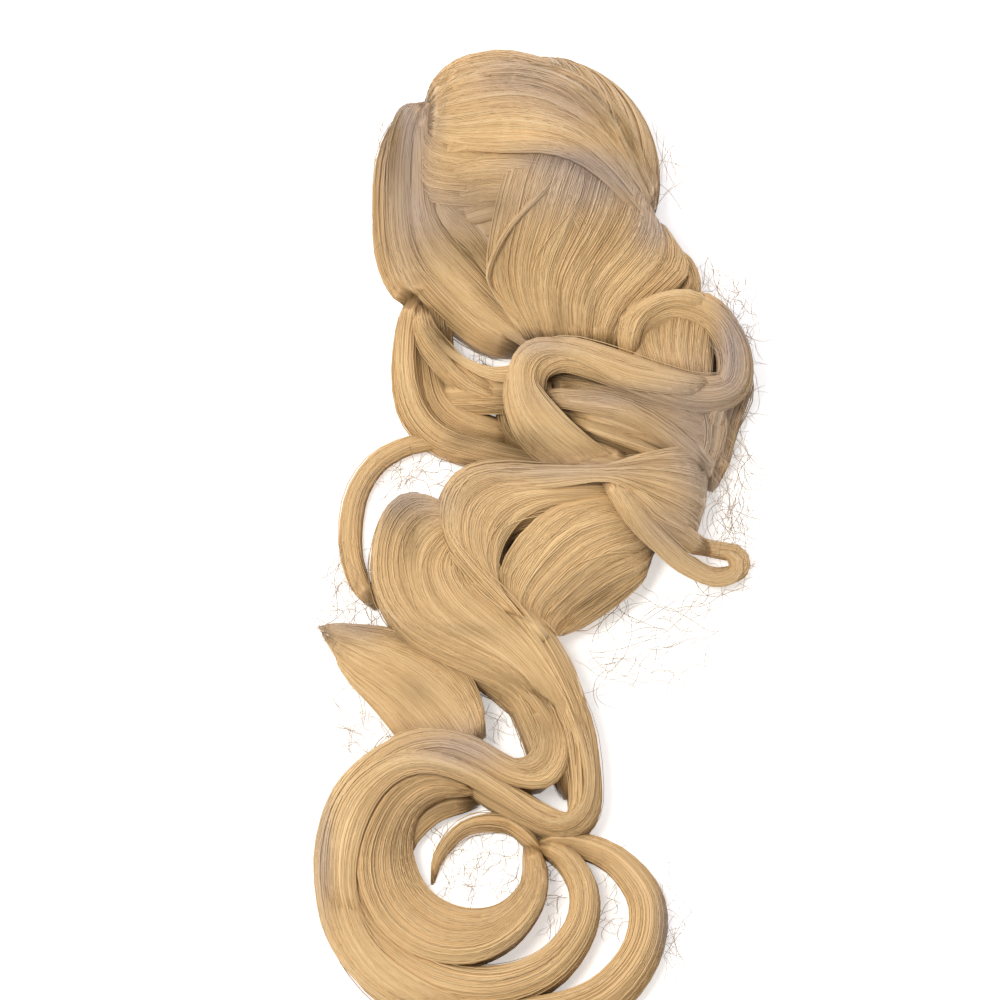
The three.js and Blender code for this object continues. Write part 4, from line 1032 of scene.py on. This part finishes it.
def sheet(lines, rng, hair, covered=True):
    """Combs a sheet of hair between lines that lie side by side: a thin body and strands."""
    grid, normal, length, wide = line_grid(lines)
    both = np.concatenate([grid, normal], axis=2)
    thick = min(SHEET_THICK, SHEET_THICK_SHARE * wide)
    span = max(wide, NARROWEST)

    def place(g, t):
        a, b = np.clip(g, 0, 1) * (GRID - 1), np.clip(t, 0, 1) * (GRID - 1)
        i, j = np.minimum(a.astype(int), GRID - 2), np.minimum(b.astype(int), GRID - 2)
        u, v = (a - i)[..., None], (b - j)[..., None]
        row = ((both[i, j] * (1 - u) + both[i + 1, j] * u) * (1 - v)
               + (both[i, j + 1] * (1 - u) + both[i + 1, j + 1] * u) * v)
        return row[..., :3], unit(row[..., 3:])

    def sunk(g, t):
        ends = np.clip(1 - np.minimum(t, 1 - t) * length / TAPER, 0, 1) ** 2
        edges = np.clip(1 - np.minimum(g, 1 - g) * wide / EDGE_WIDTH, 0, 1) ** 2
        return SHEET_DIVE * ends + EDGE_DIVE * edges

    relief = ridges(rng)
    bend = waves(rng, 1, GRID_SHARES, 0.6, 0.5)[0]
    marks = stations(grid[GRID // 2])
    count = max(14, int(STRANDS_PER_MM * SHEET_DENSITY * wide * SHEET_FILL))
    g = rng.uniform(0, 1, count)
    t = spans(rng, count, marks)
    s = np.linspace(0, 1, len(marks))
    height = relief(g[:, None] * wide, t)
    roam = 0.25 + 1.6 * some(rng, count, 0.1)
    shift = np.interp(t, GRID_SHARES, bend) + waves(rng, count, t, 0.8, 1.0) * roam
    where = g[:, None] + shift / span
    base, out = place(where, t)
    stray = some(rng, count, 0.05) * rng.uniform(0.2, 1.5, (count, 1))
    lift = (RIDGE * (height - 1) - SCATTER * rng.uniform(0, 1, (count, 1)) ** 2
            - sunk(where, t) + stray * np.sin(math.pi * s) ** 2)
    tone = strand_tones(rng, STRAND_TONE, height)
    finish_strands(rng, hair, base + out * lift[..., None], out, s, tone, covered=covered)

    flat = max(8, round(wide / SHEET_STEP))
    t = np.clip(marks, 0.02, 0.98)[:, None]
    g = np.linspace(0, 1, flat)[None]
    moved = g + np.interp(t, GRID_SHARES, bend) / span
    upper, out = place(moved, t + 0 * g)
    height = relief(g * wide, t)
    drop = BODY_UNDER + RIDGE * (1 - height) + sunk(g + 0 * t, t + 0 * g)
    thin = EDGE_THICK + thick * np.sin(math.pi * np.clip(g, 0.02, 0.98)) ** 0.5 + 0 * t
    lower = upper - out * (drop + thin)[..., None]
    upper = upper - out * drop[..., None]
    rings = np.concatenate([upper, lower[:, ::-1]], axis=1)
    # The sheet's body is painted darker, as shade under its strands, with painted light on its
    # ridges and painted shade between them
    tint = np.concatenate([BODY_TONE_IN_SHADE + RIDGE_LIGHT_AND_SHADE * height] * 2, axis=1)
    turned = np.cross(rings, np.roll(rings, -1, axis=1)).sum(axis=1)
    ahead = np.gradient(rings.mean(axis=1), axis=0)
    if (turned * ahead).sum() < 0:
        rings, tint = rings[:, ::-1], tint[:, ::-1]
    hair.body(rings, tint, np.arange(rings.shape[1] + 1) / flat * wide)


def guide_lines(guides):
    """The smooth lines through rows of guide points."""
    lines = []
    for guide in guides:
        across, along, top = np.array(guide, float).T
        upper = plan_points(across, along, top * PERCENT * CROWN_HEIGHT)
        lines.append(spline(upper, GRID_SHARES) + SHIFT)
    return np.array(lines)


def line_grid(lines):
    """The smooth surface through lines, as a grid of points and normals, and its size."""
    length = np.linalg.norm(np.diff(lines, axis=1), axis=2).sum(axis=1).mean()
    wide = np.linalg.norm(np.diff(lines, axis=0), axis=2).sum(axis=0).mean()
    cross = spline(lines.reshape(len(lines), -1), GRID_SHARES)
    grid = cross.reshape(GRID, GRID, 3)
    normal = unit(np.cross(np.gradient(grid, axis=0), np.gradient(grid, axis=1)))
    normal = normal * np.sign(normal[..., 2:].mean())
    return grid, normal, length, wide


def root_dome(rng, hair):
    """The gathered roots: a hollow dome over the clip, and hair combed over its sides."""
    middle, radii = crown_middle() + SHIFT, crown_radii() - np.array(DOME_INSET)
    hollow = np.array(DOME_HOLLOW)
    polar = np.linspace(0.06, math.pi / 2, DOME_RINGS)
    turn = 2 * math.pi * np.arange(DOME_SIDES) / DOME_SIDES
    rings = []
    for angle, size in [(a, hollow) for a in polar] + [(a, radii) for a in polar[::-1]]:
        flat = np.column_stack([np.cos(turn), np.sin(turn)]) * size[:2] * math.sin(angle)
        high = np.full(DOME_SIDES, size[2] * math.cos(angle))
        rings.append(np.column_stack([flat, high]) + middle)
    rings = np.array(rings)
    # The dome's skin is painted darker, as shade under the hair over it
    hair.body(rings, np.full(rings.shape[:2], DOME_TONE_IN_SHADE), np.arange(DOME_SIDES + 1) * 3.0)
    outer = crown_radii() - np.array(DOME_HAIR_INSET)
    count = DOME_STRANDS
    psi = rng.uniform(-0.08, math.pi + 0.08, (count, 1))
    s = np.linspace(0, 1, DOME_STRAND_RINGS)
    relief = ridges(rng)(psi * 55, s)
    phi_start = rng.uniform(0.1, 0.5, (count, 1))
    phi = phi_start + (2.1 - phi_start - rng.uniform(0, 0.5, (count, 1))) * s
    lean = psi + waves(rng, count, s, 0.7, 0.012)
    size = 1 - 0.01 * rng.uniform(0, 1, (count, 1)) + 0.012 * (relief - 1)
    way = np.stack([-np.cos(lean) * np.sin(phi), np.cos(phi), np.sin(lean) * np.sin(phi)], axis=-1)
    points = middle + way * outer * size[..., None]
    tone = strand_tones(rng, ROOT_TONE, relief)
    finish_strands(rng, hair, points, unit(way / outer), s, tone, thick=DOME_THICK)

    # A skirt of hair round the dome's back, from the surface up to the top sheet's edge
    around = np.radians(np.linspace(*SKIRT_TURN, GRID))
    lines = []
    for high, reach in SKIRT:
        lines.append(middle + np.column_stack([reach * COLUMN * np.cos(around),
                                               reach * ROW * np.sin(around),
                                               np.full(GRID, high * CROWN_HEIGHT)]))
    sheet(np.array(lines), rng, hair, covered=False)


def loose_hairs(rng, hair):
    """Flyaway hairs and frizz beside the locks and in the gaps."""
    up = np.array([0.0, 0.0, 1.0])
    for left, right, top, bottom, count, length, curl, heading, reach in LOOSE:
        rings = max(10, round(length / 2.2))
        s = np.linspace(0, 1, rings)
        px = rng.uniform(left, right, count)
        py = rng.uniform(top, bottom, count)
        high = rng.uniform(0.03, reach, count) * CROWN_HEIGHT
        seat = plan_points(px / PIXELS_PER_SQUARE, (PHOTO_WIDTH - py) / PIXELS_PER_SQUARE, high)
        course = np.radians(heading + rng.normal(0, HEADING_SPREAD, (count, 1)))
        course = course + waves(rng, count, s, 0.6, 0.25) * curl
        run = length * rng.uniform(0.35, 1.2, (count, 1)) / rings
        x = np.cumsum(np.cos(course) * run, axis=1)
        y = np.cumsum(np.sin(course) * run, axis=1)
        z = waves(rng, count, s, 0.8, 1.4)
        path = np.stack([x - x.mean(axis=1, keepdims=True), y - y.mean(axis=1, keepdims=True), z],
                        axis=-1)
        points = seat[:, None] + SHIFT + path
        thick = LOOSE_RADIUS * rng.uniform(0.6, 1.2, (count, 1))
        radii = thick * np.minimum(1, np.minimum(s, 1 - s) * 6 + 0.3)
        tone = np.broadcast_to(0.5 + 0.3 * rng.normal(0, 1, (count, 1)), radii.shape)
        points[..., 2] = np.maximum(points[..., 2], 0.3)
        hair.tubes(points, radii, up, tone)


def add_object(hair, node=None):
    """Puts the piece in the scene, in place of its node."""
    data = hair.mesh()
    piece = bpy.data.objects.new(hair.name, data)
    bpy.context.scene.collection.objects.link(piece)
    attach(piece, "root")
    if node:
        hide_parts(node)
    print(hair.name, "triangles", hair.triangles())
    return piece


# Materials

def link(tree, source, output, target, entry):
    tree.links.new(source.outputs[output], target.inputs[entry])


def streak_group():
    """Tones of combed hair: a tint along each strand that carries painted light and shade, a painted
    ashen sheen and grey shade, and painted shade in the gaps.
    """
    group = bpy.data.node_groups.new("hair_streaks", "ShaderNodeTree")
    face = group.interface
    for name, value in (("Shadow", (0.33, 0.21, 0.09, 1)), ("Gold", (0.69, 0.46, 0.22, 1)),
                        ("Light", (0.84, 0.60, 0.31, 1)), ("Sheen And Grey Shade", (0.47, 0.37, 0.31, 1))):
        face.new_socket(name, in_out="INPUT", socket_type="NodeSocketColor").default_value = value
    for name, value in (("Streak", 0.5), ("Bands", 0.5), ("Roughness Low", 0.36),
                        ("Roughness High", 0.52)):
        face.new_socket(name, in_out="INPUT", socket_type="NodeSocketFloat").default_value = value
    face.new_socket("Color", in_out="OUTPUT", socket_type="NodeSocketColor")
    face.new_socket("Roughness", in_out="OUTPUT", socket_type="NodeSocketFloat")
    face.new_socket("Height", in_out="OUTPUT", socket_type="NodeSocketFloat")
    nodes = group.nodes
    entry, leave = nodes.new("NodeGroupInput"), nodes.new("NodeGroupOutput")
    look = nodes.new("ShaderNodeAttribute")
    look.attribute_name = "look"
    split = nodes.new("ShaderNodeSeparateColor")
    link(group, look, "Color", split, "Color")
    flow = nodes.new("ShaderNodeUVMap")
    flow.uv_map = "Flow"
    value, output = split, "Red"
    for name, squeeze in (("Streak", (3.4, 0.02, 1)), ("Bands", (0.3, 0.012, 1))):
        scale = nodes.new("ShaderNodeMapping")
        scale.inputs["Scale"].default_value = squeeze
        link(group, flow, "UV", scale, "Vector")
        noise = nodes.new("ShaderNodeTexNoise")
        noise.inputs["Scale"].default_value = 1.0
        noise.inputs["Detail"].default_value = 2
        link(group, scale, "Vector", noise, "Vector")
        centred = nodes.new("ShaderNodeMath")
        centred.operation = "SUBTRACT"
        link(group, noise, "Fac", centred, 0)
        centred.inputs[1].default_value = 0.5
        tint = nodes.new("ShaderNodeMath")
        tint.operation = "MULTIPLY_ADD"
        link(group, centred, "Value", tint, 0)
        link(group, entry, name, tint, 1)
        link(group, value, output, tint, 2)
        value, output = tint, "Value"
        if name == "Streak":
            fine = noise
    link(group, fine, "Fac", leave, "Height")
    low, high = nodes.new("ShaderNodeMapRange"), nodes.new("ShaderNodeMapRange")
    for part, start, end in ((low, 0.0, 0.55), (high, 0.55, 1.1)):
        part.inputs["From Min"].default_value = start
        part.inputs["From Max"].default_value = end
        link(group, tint, "Value", part, "Value")
    colour = entry
    output = "Shadow"
    # Gold and Light follow the tint; the green channel paints the ashen sheen and grey shade, and
    # the blue one paints deep shade
    for name, source, from_output in (("Gold", low, "Result"), ("Light", high, "Result"),
                                      ("Sheen And Grey Shade", split, "Green"), ("Shadow", split, "Blue")):
        mix = nodes.new("ShaderNodeMix")
        mix.data_type = "RGBA"
        group.links.new(source.outputs[from_output], mix.inputs[0])
        group.links.new(colour.outputs[output], mix.inputs[6])
        group.links.new(entry.outputs[name], mix.inputs[7])
        colour, output = mix, 2
    group.links.new(colour.outputs[output], leave.inputs["Color"])
    rough = nodes.new("ShaderNodeMapRange")
    rough.clamp = True
    link(group, fine, "Fac", rough, "Value")
    link(group, entry, "Roughness Low", rough, "To Min")
    link(group, entry, "Roughness High", rough, "To Max")
    link(group, rough, "Result", leave, "Roughness")
    return group


def new_material(name):
    material = bpy.data.materials.new(name)
    material.use_nodes = True
    return material, material.node_tree, material.node_tree.nodes["Principled BSDF"]


def hair_material(name, group, colours, streak, bands):
    material, tree, shader = new_material(name)
    shades = tree.nodes.new("ShaderNodeGroup")
    shades.node_tree = group
    for entry, value in colours.items():
        shades.inputs[entry].default_value = (*value, 1)
    shades.inputs["Streak"].default_value = streak
    shades.inputs["Bands"].default_value = bands
    link(tree, shades, "Color", shader, "Base Color")
    link(tree, shades, "Roughness", shader, "Roughness")
    bump = tree.nodes.new("ShaderNodeBump")
    bump.inputs["Strength"].default_value = 0.35
    bump.inputs["Distance"].default_value = 0.0003
    link(tree, shades, "Height", bump, "Height")
    link(tree, bump, "Normal", shader, "Normal")
    shader.inputs["Specular IOR Level"].default_value = 0.45
    return material


def clip_material():
    material, tree, shader = new_material("clip_satin")
    noise = tree.nodes.new("ShaderNodeTexNoise")
    noise.inputs["Scale"].default_value = 220
    place = tree.nodes.new("ShaderNodeTexCoord")
    link(tree, place, "Object", noise, "Vector")
    rough = tree.nodes.new("ShaderNodeMapRange")
    rough.inputs["To Min"].default_value = 0.38
    rough.inputs["To Max"].default_value = 0.52
    link(tree, noise, "Fac", rough, "Value")
    link(tree, rough, "Result", shader, "Roughness")
    shader.inputs["Base Color"].default_value = (0.57, 0.34, 0.13, 1)
    return material


def surface_material():
    material, tree, shader = new_material("pale_surface")
    shader.inputs["Base Color"].default_value = (0.93, 0.93, 0.93, 1)
    shader.inputs["Roughness"].default_value = 0.8
    shader.inputs["Specular IOR Level"].default_value = 0.1
    shader.inputs["Emission Color"].default_value = (1, 1, 1, 1)
    shader.inputs["Emission Strength"].default_value = 0.42
    return material


# The pieces

low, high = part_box("claw_clip")
clip_middle = np.array((low + high) / 2) / MM
SHIFT = np.array([*(clip_middle - crown_middle())[:2], 0.0])

streaks = streak_group()
gold = hair_material("hair_gold", streaks, {}, 0.7, 0.7)
loose = hair_material("hair_loose", streaks, LOOSE_TONES, 0.2, 0.0)

ALL_LOCKS = [lock.lay(SHIFT) for locks in LOCKS.values() for lock in locks]

# How high the sheets lie, but for their sunk edges and ends
SHEET_TOP = np.full(MAP_CELLS, FAR_BELOW)
for sheets in DRAPES.values():
    for guides in sheets:
        grid = line_grid(guide_lines(guides))[0]
        grid = grid[2:-2, 3:-3].reshape(-1, 3)
        np.maximum.at(SHEET_TOP, cell_of(grid), grid[:, 2])

pieces = []
for number, (node, locks) in enumerate(LOCKS.items()):
    rng = np.random.default_rng(SEED + number)
    hair = Hair(node + "_hair")
    for lock in locks:
        comb(lock, rng, hair)
    for guides in DRAPES.get(node, []):
        sheet(guide_lines(guides), rng, hair)
    if node == "crown":
        root_dome(rng, hair)
    pieces.append((hair, node))

# How high the hair lies around each place, which sets how deep a strand is and so how much painted
# shade it gets
top = np.zeros(MAP_CELLS)
for hair, _ in pieces:
    for rings, *_ in hair.bodies + hair.strands:
        points = rings.reshape(-1, 3)
        np.maximum.at(top, cell_of(points), points[:, 2])
SOFT_TOP = spread(top, SMOOTH_CELLS)

frizz = Hair("loose_strands")
loose_hairs(np.random.default_rng(SEED + 50), frizz)
for hair, node in pieces + [(frizz, None)]:
    piece = add_object(hair, node)
    piece.data.materials.append(gold if node else loose)

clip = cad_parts["claw_clip"]
clip.data.materials.clear()
clip.data.materials.append(clip_material())

# The surface, the light and the camera

floor_data = bpy.data.meshes.new("surface")
reach = 6
floor_data.from_pydata([(-reach, -reach, 0), (reach, -reach, 0), (reach, reach, 0),
                        (-reach, reach, 0)], [], [(0, 1, 2, 3)])
floor = bpy.data.objects.new("surface", floor_data)
floor_data.materials.append(surface_material())
bpy.context.scene.collection.objects.link(floor)


def area_light(name, place, aim, size, power, colour):
    light = bpy.data.lights.new(name, "AREA")
    light.shape = "DISK"
    light.size = size
    light.energy = power
    light.color = colour
    item = bpy.data.objects.new(name, light)
    item.location = place
    item.rotation_euler = (Vector(aim) - Vector(place)).to_track_quat("-Z", "Y").to_euler()
    bpy.context.scene.collection.objects.link(item)
    return item


MIDDLE = (0, 0, 0.02)
lights = [
    area_light("key", (-0.55, -0.1, 1.5), MIDDLE, 0.6, 17, (1.0, 0.95, 0.88)),
    area_light("sheen", (0.2, 1.5, 0.9), MIDDLE, 1.2, 10, (0.86, 0.86, 1.0)),
]

world = bpy.data.worlds.new("pale_room")
world.use_nodes = True
world.node_tree.nodes["Background"].inputs["Color"].default_value = (1, 1, 1, 1)
world.node_tree.nodes["Background"].inputs["Strength"].default_value = 0.54
bpy.context.scene.world = world

camera_data = bpy.data.cameras.new("camera")
camera_data.lens = LENS
camera_data.sensor_width = SENSOR
camera = bpy.data.objects.new("camera", camera_data)
seen = PHOTO_WIDTH / PIXELS_PER_SQUARE * COLUMN * MM
distance = LENS / SENSOR * seen * 1.005
target = (plan_points(*map(float, PHOTO_MIDDLE), 0.0) + SHIFT) * MM
slope = math.radians(VIEW_SLOPE)
camera.location = Vector(target) + distance * Vector((0, -math.cos(slope), math.sin(slope)))
camera.rotation_euler = (Vector(target) - camera.location).to_track_quat("-Z", "Y").to_euler()
bpy.context.scene.collection.objects.link(camera)
bpy.context.scene.camera = camera
bpy.context.scene.view_settings.view_transform = "Standard"
